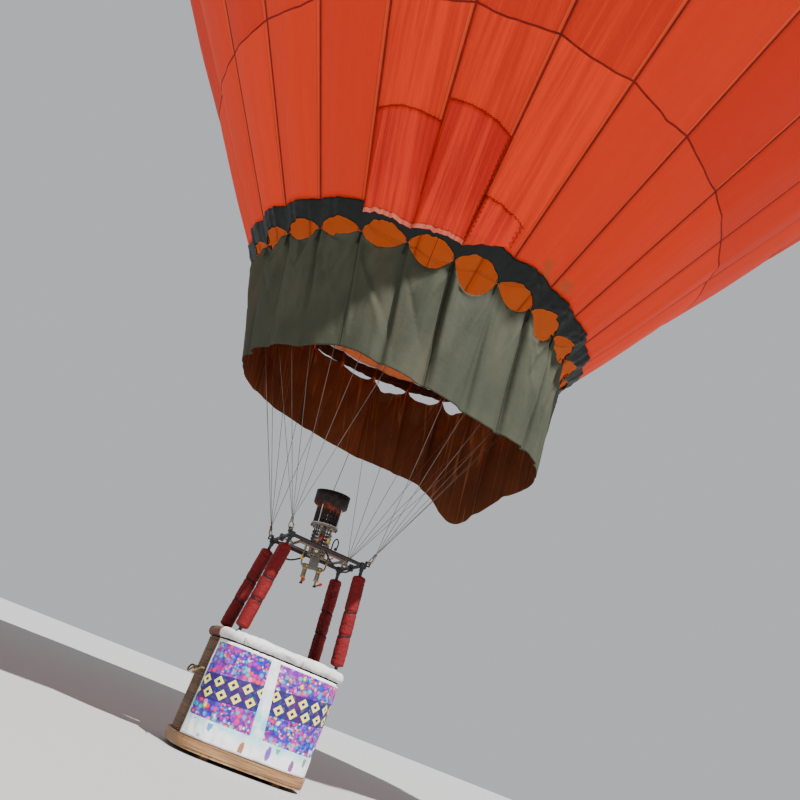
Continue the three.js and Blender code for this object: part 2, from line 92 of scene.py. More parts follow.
def rolled_camera(azimuth, distance, height, yaw, pitch, roll, lens):
    forward = Vector(direction(yaw, pitch))
    level = forward.cross(Vector((0, 0, 1))).normalized()
    upward = level.cross(forward)
    roll = math.radians(roll)
    right = level * math.cos(roll) + upward * math.sin(roll)
    top = upward * math.cos(roll) - level * math.sin(roll)
    data = bpy.data.cameras.new("camera")
    data.sensor_width, data.lens = 36, lens
    data.clip_start, data.clip_end = 0.05, 3000
    camera = linked("camera", data)
    place = direction(azimuth, 0) * distance + (0, 0, up(height))
    turn = Matrix((right, top, -forward)).transposed().to_4x4()
    camera.matrix_world = Matrix.Translation(place) @ turn
    bpy.context.scene.camera = camera
    return camera


camera = rolled_camera(azimuth=-103, distance=8.3, height=0.60, yaw=75.6, pitch=20.9, roll=21.6,
                       lens=38.8)
print("camera at", [round(v, 2) for v in camera.location])

# %% [markdown]
# ## Shader sums
# Shader nodes are easier to read as sums. `Signal` wraps an output socket, so that `1 - mask` or
# `a * b` adds a Math node. One function makes all the operators from the names of the operations.

# %% Signals
def math_node(operation, swapped=False, clamp=False):
    """A method that adds one Math node after the signal it is called on."""
    def method(self, other=0.0):
        first, second = (other, self) if swapped else (self, other)
        return self.finish.node("Math", {"operation": operation, "use_clamp": clamp},
                                {0: first, 1: second})
    return method


class Signal:
    def __init__(self, finish, socket):
        self.finish = finish
        self.socket = socket

    __add__ = __radd__ = math_node("ADD")
    __sub__ = math_node("SUBTRACT")
    __rsub__ = math_node("SUBTRACT", swapped=True)
    __mul__ = __rmul__ = math_node("MULTIPLY")
    __truediv__ = math_node("DIVIDE")
    __mod__ = math_node("FLOORED_MODULO")
    __gt__ = math_node("GREATER_THAN")
    __lt__ = math_node("LESS_THAN")
    power = math_node("POWER")
    most = math_node("MAXIMUM")
    size = math_node("ABSOLUTE")
    sine = math_node("SINE")
    floored = math_node("FLOOR")
    clamped = math_node("ADD", clamp=True)

    def step(self, low, high):
        """0 below low, 1 above high, smooth between."""
        sockets = {0: self, 1: low, 2: high, 3: 0.0, 4: 1.0}
        return self.finish.node("MapRange", {"interpolation_type": "SMOOTHSTEP"}, sockets)


# %% [markdown]
# ## One finish, one material
# `Finish` adds any node by type, with its settings first and its sockets after, and ends in one
# Principled shader. Colours that stay the same are set on the shader's own sockets.

# %% Finish
class Finish:
    def __init__(self, name):
        self.material = bpy.data.materials.new(name)
        self.material.use_nodes = True
        self.tree = self.material.node_tree
        self.tree.nodes.clear()

    def node(self, kind, settings=None, sockets=None, output=0):
        made = self.tree.nodes.new("ShaderNode" + kind)
        for key, value in (settings or {}).items():
            if key == "stops":
                self._stops(made, value)
            else:
                setattr(made, key, value)
        for key, value in (sockets or {}).items():
            if isinstance(value, Signal):
                self.tree.links.new(value.socket, made.inputs[key])
            else:
                made.inputs[key].default_value = value
        return Signal(self, made.outputs[output]) if len(made.outputs) else None

    @staticmethod
    def _stops(ramp, stops):
        elements = ramp.color_ramp.elements
        while len(elements) < len(stops):
            elements.new(0.5)
        for element, (place, colour) in zip(elements, stops):
            element.position = place
            element.color = (*colour, 1)

    def place(self):
        return self.node("TexCoord", output="Object")

    def own_uv(self):
        return self.node("UVMap", {"uv_map": "cloth"})

    def parts(self, vector):
        made = self.node("SeparateXYZ", sockets={0: vector})
        outputs = made.socket.node.outputs
        return [Signal(self, outputs[i]) for i in range(3)]

    def vector(self, x, y, z=0.0):
        return self.node("CombineXYZ", sockets={0: x, 1: y, 2: z})

    def stretched(self, vector, scale):
        return self.node("Mapping", sockets={"Vector": vector, "Scale": scale})

    def noise(self, vector, scale, detail=3.0, roughness=0.55):
        sockets = {"Vector": vector, "Scale": scale, "Detail": detail, "Roughness": roughness}
        return self.node("TexNoise", sockets=sockets)

    def attribute(self, name):
        return self.node("Attribute", {"attribute_name": name}, output="Fac")

    def mix(self, factor, first, second):
        first, second = (v if isinstance(v, Signal) else (*v, 1) for v in (first, second))
        return self.node("Mix", {"data_type": "RGBA"}, {0: factor, 6: first, 7: second},
                         output=2)

    def bump(self, height):
        return self.node("Bump", sockets={"Height": height, "Distance": 1.0, "Strength": 1.0})

    def surface(self, base, roughness, normal=None, metallic=0.0, through=None, **fixed):
        """Ends the material. through = (share, colour) lets light through a thin cloth."""
        base = base if isinstance(base, Signal) else (*base, 1)
        sockets = {"Base Color": base, "Roughness": roughness, "Metallic": metallic}
        if normal is not None:
            sockets["Normal"] = normal
        sockets.update({key.replace("_", " "): value for key, value in fixed.items()})
        shader = self.node("BsdfPrincipled", sockets=sockets)
        if through is not None:
            share, colour = through
            glow = self.node("BsdfTranslucent", sockets={"Color": (*colour, 1)})
            shader = self.node("MixShader", sockets={0: share, 1: shader, 2: glow})
        self.node("OutputMaterial", sockets={"Surface": shader})
        return self.material


# %% [markdown]
# ## Balloon cloth
# The envelope is thin coated nylon: a strong orange-red that lets the light through. Each gore is
# sewn from panels, so tone changes at every cross seam. The cloth's own UV map holds metres: across
# the gore from its middle, and along it from the mouth. A value called half is half the gore's
# width, so that the shader knows how far each point is from a load tape. Long soft pleats run along
# the gore, with painted shade and light along them in the colour, strongest on the loose gores at
# the front. Small puckers stand beside tapes and seams, and a felled strip lies along one side,
# painted lighter as a highlight along its fold. The panels above the first seam carry painted
# shade, so the lowest ring of panels looks brighter than the ones above it.

# %% Finish: balloon cloth
FIRST_SEAM, PANEL_LENGTH, SEAM_DROOP = 2.02, 1.99, 0.22
# Each scorch: gore, place across and along it, size.
SCORCHES = [(18, 0.06, 0.37, 0.14), (18, 0.10, 0.27, 0.15), (19, -0.15, 0.34, 0.16)]
FRONT_GORE = 16.0
WEAVE = 1250.0


def scorched(f, across, along, place):
    """Brown marks where the cloth was scorched."""
    uneven = f.noise(place, 16.0, 4.0, 0.6) * 0.10
    marks = 0.0
    for gore, x, y, size in SCORCHES:
        here = (f.attribute("gore") - gore).size() < 0.5
        away = ((across - x) * (across - x) + (along - y) * (along - y)).power(0.5) + uneven
        marks = here * (1 - away.step(size * 0.4, size)) * 0.65 + marks
    return marks


def balloon_cloth(name, colour, deep, through, pleats=1.0, share=0.3, patch=False):
    """share and through say how much light passes, and its colour. A patch has no felled strip,
    seam or scorch, and is gathered at its foot."""
    f = Finish(name)
    across, along, _ = f.parts(f.own_uv())
    half = f.attribute("half")
    edge = half - across.size()
    beside = half - across
    strip = 0.030 + along.step(0.0, 6.0) * 0.045
    share_across = across / half
    droop = (1 - share_across * share_across) * half * SEAM_DROOP
    panels = (along + droop - FIRST_SEAM) / PANEL_LENGTH
    near_seam = ((panels + 0.5) % 1.0 - 0.5).size() * PANEL_LENGTH
    tone = f.node("TexWhiteNoise", sockets={
        "Vector": f.vector(f.attribute("gore"), panels.floored(), 0.5)})
    clouds = f.noise(f.place(), 0.9, 4.0)
    long_folds = f.noise(f.vector(across * 9.0 + tone * 30.0, along * 0.33), 1.0, 4.0, 0.6)
    fine_folds = f.noise(f.vector(across * 34.0 + tone * 9.0, along * 0.8), 1.0, 3.0, 0.55)
    loose = ((f.attribute("gore") - FRONT_GORE).size() < 1.6) * (1 - along.step(1.5, 5.0))
    tape_wrinkles = f.noise(f.vector(edge * 5.0, along * 30.0), 1.0, 3.0)
    tape_wrinkles = tape_wrinkles * (1 - edge.step(0.0, 0.13))
    seam_wrinkles = f.noise(f.vector(across * 46.0, along * 4.0), 1.0, 2.0)
    seam_wrinkles = seam_wrinkles * (1 - near_seam.step(0.0, 0.10))
    grid = (across * WEAVE).sine().most((along * WEAVE).sine())
    # Colour: random panel tone and mottling, plus painted shade and light along the long pleats,
    # and stronger painted pleat shade and light on the loose gores at the front.
    painted_pleat_light_and_shade = (long_folds * 0.6 + fine_folds * 0.4).step(0.38, 0.62) - 0.5
    tone_and_painted_fold_shade = tone * 0.5 + clouds * 0.3 + long_folds * 0.45 - 0.1 + painted_pleat_light_and_shade * loose * 0.9
    height = (long_folds * 0.011 + fine_folds * 0.0035) * (loose * 1.6 + 1.0) * pleats
    height = height + tape_wrinkles * 0.004 + seam_wrinkles * 0.004 + grid * 0.00005
    doubled = (1 - edge.step(0.012, 0.045)) * 0.3
    seam_colour = tuple(0.35 * c for c in deep)
    if patch:
        gathers = f.noise(f.vector(across * 85.0, along * 2.0), 1.0, 2.0)
        gathers = gathers * (1 - along.step(0.16, 0.6))
        # The gathers at the patch's foot also darken and lighten its colour: painted shade and
        # light along them.
        cloth = f.mix((tone_and_painted_fold_shade + (gathers - 0.25) * 0.9).clamped(), deep, colour)
        cloth = f.mix(doubled.clamped(), cloth, seam_colour)
        height = height + gathers * 0.006
    else:
        # The felled strip beside each tape is a real fold of cloth with a little height; its
        # lighter colour is a painted highlight along that fold.
        felled = (beside > 0.014) * (beside < strip)
        seam_line = 1 - near_seam.step(0.006, 0.012)
        stitch = 1 - (beside - strip).size().step(0.002, 0.006)
        # Painted shade: the panels above the first seam are darkened, so the lowest ring looks
        # brighter.
        painted_shade_above_first_seam = panels > 0.0
        cloth = f.mix((tone_and_painted_fold_shade - painted_shade_above_first_seam * 0.35).clamped(), deep, colour)
        # Painted highlight: the felled strip is coloured a lighter orange.
        cloth = f.mix(felled * 0.55, cloth, (0.98, 0.13, 0.035))
        doubled = (doubled + seam_line * 0.5 + stitch * 0.45).clamped()
        cloth = f.mix(doubled, cloth, seam_colour)
        cloth = f.mix(scorched(f, across, along, f.place()), cloth, (0.30, 0.11, 0.03))
        height = height + felled * 0.0018
    return f.surface(cloth, 0.5 + 0.2 * clouds, f.bump(height), through=(share, through),
                     Specular_IOR_Level=0.3)


cloth_orange = balloon_cloth("balloon_cloth", (0.98, 0.044, 0.003), (0.66, 0.020, 0.002),
                             (1.0, 0.34, 0.10))
cloth_lining = balloon_cloth("balloon_lining", (0.92, 0.78, 0.54), (0.80, 0.62, 0.40),
                             (0.96, 0.90, 0.72), pleats=0.6, share=0.55)
cloth_patch = balloon_cloth("patch_cloth", (0.98, 0.050, 0.010), (0.60, 0.012, 0.003),
                            (1.0, 0.20, 0.04), pleats=1.4, share=0.25, patch=True)


# %% [markdown]
# ## Heat-proof cloth
# The band round the mouth and the skirt under it are heavier cloth that heat can't harm. The band
# is black with a slight gloss. The skirt is olive outside and brown inside, with a visible weave.

# %% Finish: heat-proof cloths
def heavy_cloth(name, light, dark, roughness, weave, gloss, rubbed=None, panel=0.0, stain=None):
    """rubbed colours thin worn lines along folds, and stain broad marks that run down the cloth.
    panel is the distance between seams."""
    f = Finish(name)
    across, along, _ = f.parts(f.own_uv())
    place = f.place()
    clouds = f.noise(place, 1.1, 5.0)
    streaks = f.noise(f.stretched(place, (1.0, 1.0, 0.16)), 9.0, 4.0)
    threads = (across * weave).sine() * (along * weave).sine()
    crumple = f.noise(place, 7.0, 6.0, 0.6)
    cloth = f.mix((clouds * 0.7 + streaks * 0.3).step(0.25, 0.85), dark, light)
    height = threads * 0.00025 + crumple * 0.008
    if stain is not None:
        runs = f.noise(f.vector(across * 1.7, along * 0.5), 1.0, 4.0, 0.6)
        cloth = f.mix(runs.step(0.52, 0.72) * 0.6, cloth, stain)
    if rubbed is not None:
        lines = f.noise(f.vector(across * 7.0, along * 0.35), 1.0, 2.0, 0.4)
        cloth = f.mix((1 - (lines - 0.5).size().step(0.0, 0.016)) * 0.45, cloth, rubbed)
        height = height + lines * 0.012
    if panel:
        beside = ((across / panel) % 1.0 - 0.5).size() * panel
        seam = 1 - beside.step(0.004, 0.012)
        cloth = f.mix(seam * 0.55, cloth, tuple(0.4 * c for c in dark))
        height = height + (1 - beside.step(0.010, 0.022)) * 0.002 - seam * 0.002
    return f.surface(cloth, roughness + 0.15 * clouds, f.bump(height), Specular_IOR_Level=gloss)


cloth_black = heavy_cloth("mouth_cloth", (0.007, 0.010, 0.009), (0.002, 0.003, 0.003), 0.36, 900,
                          0.22)
skirt_outside = heavy_cloth("skirt_outside", (0.078, 0.080, 0.053), (0.036, 0.041, 0.027), 0.74,
                            700, 0.15, panel=0.855, stain=(0.085, 0.062, 0.040))
skirt_inside = heavy_cloth("skirt_inside", (0.17, 0.052, 0.018), (0.07, 0.022, 0.009), 0.78,
                           700, 0.15, rubbed=(0.34, 0.13, 0.05), panel=0.855)


# %% [markdown]
# ## Webbing, leather and sleeves
# Webbing is a flat weave with a rib pattern across it. Leather has a cell-like grain, wear and a
# little dirt. The sleeves are a smooth red artificial leather with fine creases.

# %% Finish: webbing
def webbing(name, colour, dark):
    f = Finish(name)
    x, y, z = f.parts(f.place())
    ribs = (z * 1900.0).sine() * ((x + y) * 1400.0).sine()
    wear = f.noise(f.place(), 14.0, 4.0)
    cloth = f.mix(wear.step(0.3, 0.75), dark, colour)
    return f.surface(cloth, 0.62 + 0.2 * wear, f.bump(ribs * 0.0004 + wear * 0.0015),
                     Specular_IOR_Level=0.3)


tape_webbing = webbing("tape_webbing", (0.26, 0.008, 0.004), (0.13, 0.004, 0.002))
black_webbing = webbing("black_webbing", (0.02, 0.02, 0.021), (0.008, 0.008, 0.009))

# %% Finish: leather
def leather(name, colour, worn, roughness, grain, crease=0.004, gloss=0.4):
    f = Finish(name)
    place = f.place()
    cells = f.node("TexVoronoi", {"feature": "DISTANCE_TO_EDGE"},
                   {"Vector": place, "Scale": grain})
    creases = f.noise(f.stretched(place, (1.0, 1.0, 0.5)), 22.0, 6.0, 0.6)
    dirt = f.noise(place, 4.5, 6.0, 0.65)
    skin = f.mix(dirt.step(0.42, 0.78), colour, worn)
    pores = 1 - cells.step(0.0, 0.22)
    skin = f.mix(pores * 0.25, skin, tuple(0.5 * c for c in worn))
    height = pores * -0.0006 + creases * crease
    return f.surface(skin, roughness + 0.2 * dirt, f.bump(height), Coat_Weight=0.08,
                     Coat_Roughness=0.35, Specular_IOR_Level=gloss)


rim_leather = leather("rim_leather", (0.13, 0.035, 0.022), (0.24, 0.10, 0.06), 0.46, 260)
sleeve_leather = leather("sleeve_leather", (0.19, 0.0025, 0.004), (0.10, 0.0015, 0.002), 0.52, 420,
                         crease=0.0012, gloss=0.25)
white_vinyl = leather("white_vinyl", (0.78, 0.77, 0.76), (0.56, 0.54, 0.52), 0.42, 260,
                      crease=0.002)


# %% [markdown]
# ## Metals
# Stainless steel that gets hot turns straw, bronze and blue, and its brushed lines catch the light.
# Black paint chips along edges. Gas cylinders are satin with scuffs, and brass is dull and warm.

# %% Finish: metals
def heated_steel(name, heat):
    f = Finish(name)
    place = f.place()
    lines = f.noise(f.stretched(place, (1.0, 1.0, 14.0)), 60.0, 3.0)
    patches = f.noise(place, 11.0, 5.0, 0.6)
    stops = [(0.0, (0.24, 0.235, 0.23)), (0.45, (0.20, 0.18, 0.155)), (0.62, (0.22, 0.12, 0.05)),
             (0.8, (0.09, 0.07, 0.12)), (1.0, (0.05, 0.045, 0.05))]
    tint = f.node("ValToRGB", {"stops": stops}, {0: (patches * heat).clamped()})
    return f.surface(tint, 0.22 + 0.3 * lines, f.bump(lines * 0.0006), metallic=1.0)


def painted_metal(name, paint, bare, chips):
    f = Finish(name)
    place = f.place()
    scuffs = f.noise(place, 38.0, 6.0, 0.7)
    peel = f.noise(place, 150.0, 2.0)
    chipped = scuffs.step(chips, chips + 0.05)
    paint = f.mix(f.noise(place, 5.0), paint, tuple(1.9 * c for c in paint))
    height = chipped * -0.0004 + peel * 0.0002
    return f.surface(f.mix(chipped, paint, bare), 0.42 + 0.25 * scuffs, f.bump(height),
                     metallic=chipped * 0.9)


def satin_metal(name, colour, dull, scratch):
    f = Finish(name)
    place = f.place()
    rub = f.noise(f.stretched(place, (scratch, scratch, 1.0)), 16.0, 6.0, 0.7)
    clouds = f.noise(place, 6.0, 4.0)
    return f.surface(f.mix(clouds.step(0.35, 0.75), colour, dull), 0.28 + 0.3 * rub,
                     f.bump(rub * 0.001), metallic=1.0)


burner_steel = heated_steel("burner_steel", 0.85)
coil_steel = heated_steel("coil_steel", 1.45)
wire_steel = satin_metal("wire_steel", (0.24, 0.22, 0.2), (0.12, 0.1, 0.085), 4.0)
black_paint = painted_metal("black_paint", (0.012, 0.012, 0.013), (0.35, 0.34, 0.33), 0.66)
bright_steel = satin_metal("bright_steel", (0.62, 0.6, 0.56), (0.38, 0.36, 0.33), 6.0)
copper = satin_metal("copper", (0.48, 0.19, 0.09), (0.26, 0.11, 0.06), 6.0)
yellow_paint = painted_metal("yellow_paint", (0.72, 0.46, 0.02), (0.3, 0.29, 0.27), 0.68)
red_paint = painted_metal("red_paint", (0.5, 0.012, 0.01), (0.3, 0.29, 0.27), 0.68)
cylinder_metal = satin_metal("cylinder_metal", (0.62, 0.63, 0.64), (0.42, 0.43, 0.44), 3.0)
brass = satin_metal("brass", (0.62, 0.38, 0.11), (0.36, 0.22, 0.07), 5.0)

# %% [markdown]
# ## Wicker, wood and rubber
# Willow rods differ in tone, from straw to a dark brown, and have fine lines along them. The base
# is varnished wood with long grain. Hose rubber is matt with a faint wrapped pattern.

# %% Finish: wicker, wood and rubber
def willow(name):
    f = Finish(name)
    place = f.place()
    fibre = f.noise(f.stretched(place, (1.0, 1.0, 4.0)), 160.0, 3.0)
    stains = f.noise(place, 5.0, 5.0)
    tone = (f.attribute("rod") * 0.7 + stains * 0.4).clamped()
    colour = f.mix(tone, (0.07, 0.030, 0.012), (0.26, 0.14, 0.06))
    colour = f.mix(fibre * 0.4, colour, (0.035, 0.016, 0.007))
    return f.surface(colour, 0.45 + 0.3 * fibre, f.bump(fibre * 0.0012), Coat_Weight=0.15,
                     Coat_Roughness=0.3)


def planks(name, light, dark, grain_scale):
    f = Finish(name)
    place = f.place()
    grain = f.noise(f.stretched(place, grain_scale), 6.0, 6.0, 0.6)
    scuffs = f.noise(place, 20.0, 6.0, 0.7)
    colour = f.mix(grain.step(0.3, 0.7), dark, light)
    colour = f.mix(scuffs.step(0.6, 0.72) * 0.6, colour, tuple(0.4 * c for c in dark))
    return f.surface(colour, 0.4 + 0.35 * scuffs, f.bump(grain * 0.0015 - scuffs * 0.001))


def hose_cover(name):
    f = Finish(name)
    x, y, z = f.parts(f.place())
    wrap = ((x + y + z) * 900.0).sine() * ((x - y + z) * 900.0).sine()
    dust = f.noise(f.place(), 18.0, 5.0)
    colour = f.mix(dust.step(0.5, 0.8) * 0.5, (0.010, 0.010, 0.011), (0.06, 0.056, 0.05))
    return f.surface(colour, 0.5 + 0.3 * dust, f.bump(wrap * 0.0004))


def sooted_steel(name):
    """Steel above the jets: soot at the top, rust and a red heat tint over the slots."""
    f = Finish(name)
    place = f.place()
    patches = f.noise(place, 26.0, 6.0, 0.65)
    runs = f.noise(f.stretched(place, (1.0, 1.0, 0.2)), 60.0, 4.0)
    height = f.parts(place)[2] - up(FRAME_Z)
    tint = height.step(0.37, 0.42) * (1 - height.step(0.43, 0.47)) * patches.step(0.3, 0.75)
    steel = f.mix(patches.step(0.45, 0.7), (0.012, 0.010, 0.010), (0.045, 0.03, 0.022))
    steel = f.mix(tint * 0.8, steel, (0.34, 0.055, 0.015))
    steel = f.mix(runs.step(0.6, 0.75) * 0.5, steel, (0.006, 0.006, 0.006))
    return f.surface(steel, 0.5 + 0.3 * patches, f.bump(patches * 0.0006), metallic=0.55)


can_steel = sooted_steel("can_steel")
willow_rods = willow("willow_rods")
base_wood = planks("base_wood", (0.36, 0.19, 0.075), (0.12, 0.055, 0.022), (0.5, 0.5, 22.0))
floor_wood = planks("floor_wood", (0.36, 0.21, 0.10), (0.18, 0.09, 0.04), (1.2, 16.0, 1.0))
hose_rubber = hose_cover("hose_rubber")

# %% [markdown]
# ## Carried-over CAD pieces
# The metal parts keep their CAD shape and only get a finish.

# %% Dressing the CAD nodes
CORNERS = {"front_left": (-1, -1), "front_right": (1, -1), "back_right": (1, 1),
           "back_left": (-1, 1)}
CAD_FINISHES = [
    (floor_wood, ["basket_floor"]),
    (base_wood, ["basket_base_frame", "skid_left", "skid_right"]),
    (black_paint, ["burner_frame", "blast_lever_left", "blast_lever_right",
                   *("upright_pole_" + corner for corner in CORNERS)]),
    (burner_steel, ["gimbal_ring", "burner_valve_block", "burner_base_plate"]),
    (coil_steel, ["burner_coil"]),
    (bright_steel, ["burner_rod_" + number for number in "1234"]),
    (cylinder_metal, ["fuel_cylinder_left", "fuel_cylinder_right"]),
    (brass, ["fuel_valve_left", "fuel_valve_right"]),
    (tape_webbing, ["crown_ring_tapes"]),
]
for finish, nodes in CAD_FINISHES:
    for node in nodes:
        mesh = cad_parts[node].data
        mesh.materials.clear()
        mesh.materials.append(finish)
print("finished CAD nodes:", sum(len(nodes) for _, nodes in CAD_FINISHES))

# %% [markdown]
# ## Meshes from grids
# Most pieces here are one of three things: a grid of points that becomes a cloth, a path that
# becomes a tube, or a profile that is turned round an axis. A grid is built first, with numpy. Its
# faces join each point to its neighbours, and Solidify gives a cloth its thickness.

# %% Grids and cloth
UP = np.array([0, 0, 1.0])


def angles(count):
    """Evenly spaced angles round a full turn."""
    return np.arange(count) * TURN / count


def round_axis(radius, angle, z):
    """Points round the z axis, for any shapes of array that go together."""
    return np.stack(np.broadcast_arrays(radius * np.cos(angle), radius * np.sin(angle), z), -1)


def unit(vectors):
    return vectors / np.linalg.norm(vectors, axis=-1, keepdims=True)


def new_piece(name, vertices, faces, materials, smooth=True):
    mesh = bpy.data.meshes.new(name)
    mesh.from_pydata(np.asarray(vertices, float).tolist(), [], [list(f) for f in faces])
    for material in materials:
        mesh.materials.append(material)
    mesh.polygons.foreach_set("use_smooth", [smooth] * len(mesh.polygons))
    return linked(name, mesh)


def grid_corners(rows, columns, wrap):
    index = np.arange(rows * columns).reshape(rows, columns)
    return np.hstack([index, index[:, :1]]) if wrap else index


def quads_of(index):
    return np.stack([index[:-1, :-1], index[:-1, 1:], index[1:, 1:], index[1:, :-1]], -1)


def cloth_piece(name, points, uv, materials, wrap=False, thickness=0.0, face_values=None,
                point_values=None):
    """points is rows by columns, going up and anticlockwise. uv has one more column if it wraps,
    or it has four places for each face."""
    rows, columns, _ = points.shape
    index = grid_corners(rows, columns, wrap)
    quads = quads_of(index).reshape(-1, 4)
    piece = new_piece(name, points.reshape(-1, 3), quads.tolist(), materials)
    if uv.ndim == 3:
        corner = quads_of(np.arange(index.size).reshape(index.shape)).reshape(-1)
        uv = uv.reshape(-1, 2)[corner]
    layer = piece.data.uv_layers.new(name="cloth")
    layer.data.foreach_set("uv", uv.astype(np.float32).ravel())
    for domain, values in (("FACE", face_values), ("POINT", point_values)):
        for key, value in (values or {}).items():
            made = piece.data.attributes.new(key, "FLOAT", domain)
            made.data.foreach_set("value", np.asarray(value, np.float32).ravel())
    if thickness:
        solid = piece.modifiers.new("cloth", "SOLIDIFY")
        solid.thickness, solid.offset, solid.use_even_offset = thickness, -1, False
        solid.material_offset = len(materials) - 1
    return piece


# %% [markdown]
# ## Tubes and turned profiles
# A tube needs a side direction at each point of its path. That direction turns as little as it can
# from point to point, so that the tube doesn't twist. A turned profile is a tube round the z axis.

# %% Tubes
def frames_along(path, closed=False):
    """Side and up directions along a path."""
    path = np.asarray(path, float)
    ahead = np.roll(path, -1, 0) - np.roll(path, 1, 0)
    if not closed:
        ahead[0] = path[1] - path[0]
        ahead[-1] = path[-1] - path[-2]
    ahead = unit(ahead)
    side = np.cross(ahead[0], UP if abs(ahead[0][2]) < 0.9 else (1.0, 0, 0))
    sides = []
    for way in ahead:
        side = unit(side - way * (side @ way))
        sides.append(side)
    return np.array(sides), np.cross(ahead, sides)


def tube_points(path, radius, sides, closed, flat):
    path = np.asarray(path, float)
    side, above = frames_along(path, closed)
    turn = angles(sides)
    ring = (side[:, None] * np.cos(turn)[None, :, None]
            + above[:, None] * np.sin(turn)[None, :, None] * flat)
    return path[:, None] + ring * np.broadcast_to(radius, len(path))[:, None, None]


def tube_faces(rows, sides, closed, first=0):
    index = grid_corners(rows, sides, True) + first
    if closed:
        index = np.vstack([index, index[:1]])
    faces = quads_of(index).reshape(-1, 4).tolist()
    if not closed:
        faces.append(list(range(first + sides - 1, first - 1, -1)))
        faces.append(list(range(first + (rows - 1) * sides, first + rows * sides)))
    return faces


def tube_piece(name, shapes, material, closed=False):
    """One piece from tubes, each given as rings of points."""
    vertices, faces = [], []
    for points in shapes:
        faces += tube_faces(*points.shape[:2], closed, len(vertices))
        vertices += points.reshape(-1, 3).tolist()
    return new_piece(name, vertices, faces, [material])


def tubes(name, paths, radius, material, sides=8, closed=False, flat=1.0):
    """One piece with a tube along each path."""
    shapes = [tube_points(path, radius, sides, closed, flat) for path in paths]
    return tube_piece(name, shapes, material, closed)


def turned(name, profile, material, sides, place):
    """A closed solid of revolution from an open profile of (radius, height), low to high."""
    radius, height = np.array(profile, float).T[..., None]
    points = round_axis(np.maximum(radius, 1e-5), angles(sides), height)
    piece = tube_piece(name, [points], material)
    piece.data.transform(place)
    return piece


# %% [markdown]
# ## Small helpers for pieces
# Parts that move together can be joined into one piece, and a small bevel takes off sharp edges.
# Each piece says on which body it rides, and which CAD node it stands for.

# %% Joining, softening, belonging
def joined(name, pieces):
    """Joins pieces that share one body into the first one."""
    with bpy.context.temp_override(active_object=pieces[0], selected_editable_objects=pieces,
                                   object=pieces[0], selected_objects=pieces):
        bpy.ops.object.join()
    pieces[0].name = name
    pieces[0].data.name = name
    return pieces[0]


def softened(piece, width):
    bevel = piece.modifiers.new("edges", "BEVEL")
    bevel.width, bevel.segments = width, 2
    bevel.limit_method, bevel.angle_limit = "ANGLE", math.radians(35)
    return piece


def belongs(piece, body, node=None):
    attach(piece, body)
    if node:
        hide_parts(node)


# %% [markdown]
# ## Fuel hoses
# A black hose runs from the frame to the swivel on each end of the gimbal's pin. It hangs in one
# low loop. Its route is the same as the CAD's: a smooth curve through seven points.

# %% Smooth routes
def between(value, first, last, start, end):
    """A point between start and end, for a value between first and last."""
    share = (value - first) / (last - first)
    return start * (1 - share) + end * share


def smooth_route(points, count):
    """Centripetal Catmull-Rom curve through the points."""
    points = [np.asarray(p, float) for p in points]
    points = [2 * points[0] - points[1], *points, 2 * points[-1] - points[-2]]
    made = []
    for a, b, c, d in zip(points, points[1:], points[2:], points[3:]):
        steps = [np.linalg.norm(q - p) ** 0.5 for p, q in ((a, b), (b, c), (c, d))]
        ta, tb, tc, td = np.concatenate([[0], np.cumsum(steps)])
        for t in np.linspace(tb, tc, count, endpoint=False):
            ab, bc, cd = (between(t, ta, tb, a, b), between(t, tb, tc, b, c),
                          between(t, tc, td, c, d))
            abc, bcd = between(t, ta, tc, ab, bc), between(t, tb, td, bc, cd)
            made.append(between(t, tb, tc, abc, bcd))
    made.append(points[-2])
    return np.array(made)


def path_length(path):
    return float(np.linalg.norm(np.diff(path, axis=0), axis=1).sum())


def hanging_cord(piece, path):
    length = path_length(path)
    print(piece.name, "length", round(length, 3))


# %% Fuel hoses
SWIVEL_Y = 0.237
HOSE_ROUTE = [(0, 0, 2.0), (0.006, 0.036, 2.0), (0.060, 0.070, 1.94), (0.170, 0.074, 1.88),
              (0.262, 0.062, 1.896), (0.305, 0.052, 1.954), (0.312, 0.050, 1.978)]
for node, side in (("fuel_hose_front", -1), ("fuel_hose_back", 1)):
    route = smooth_route([(-side * x, side * (SWIVEL_Y + y), up(z)) for x, y, z in HOSE_ROUTE], 10)
    piece = tubes(node + "_rubber", [route], 0.008, hose_rubber, sides=16)
    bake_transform(piece)
    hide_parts(node)
    hanging_cord(piece, route)
    swivel = tubes(node + "_swivel", [[route[0], route[3]]], 0.0125, brass, sides=6)
    belongs(softened(swivel, 0.0015), "gimbal")
    ferrule = tubes(node + "_ferrule", [[route[-4], route[-1]]], 0.0115, wire_steel, sides=16)
    belongs(softened(ferrule, 0.0015), "balloon")


# %% [markdown]
# ## The burner's can
# The can is a tube of sheet steel round the jets, with tall slots that let air in, a flare above
# them and rolled edges. Faces are left out of the ring where the slots are, and Solidify then gives
# the sheet its thickness and closes the slot edges. A cluster of jets and pipes stands inside.

# %% Burner can
BURNER_PLACE = Matrix.Translation((0, 0, up(2.0))) @ Matrix.Rotation(math.radians(-6), 4, "Y")


def on_burner(piece, node=None):
    piece.data.transform(BURNER_PLACE)
    belongs(piece, "burner", node)


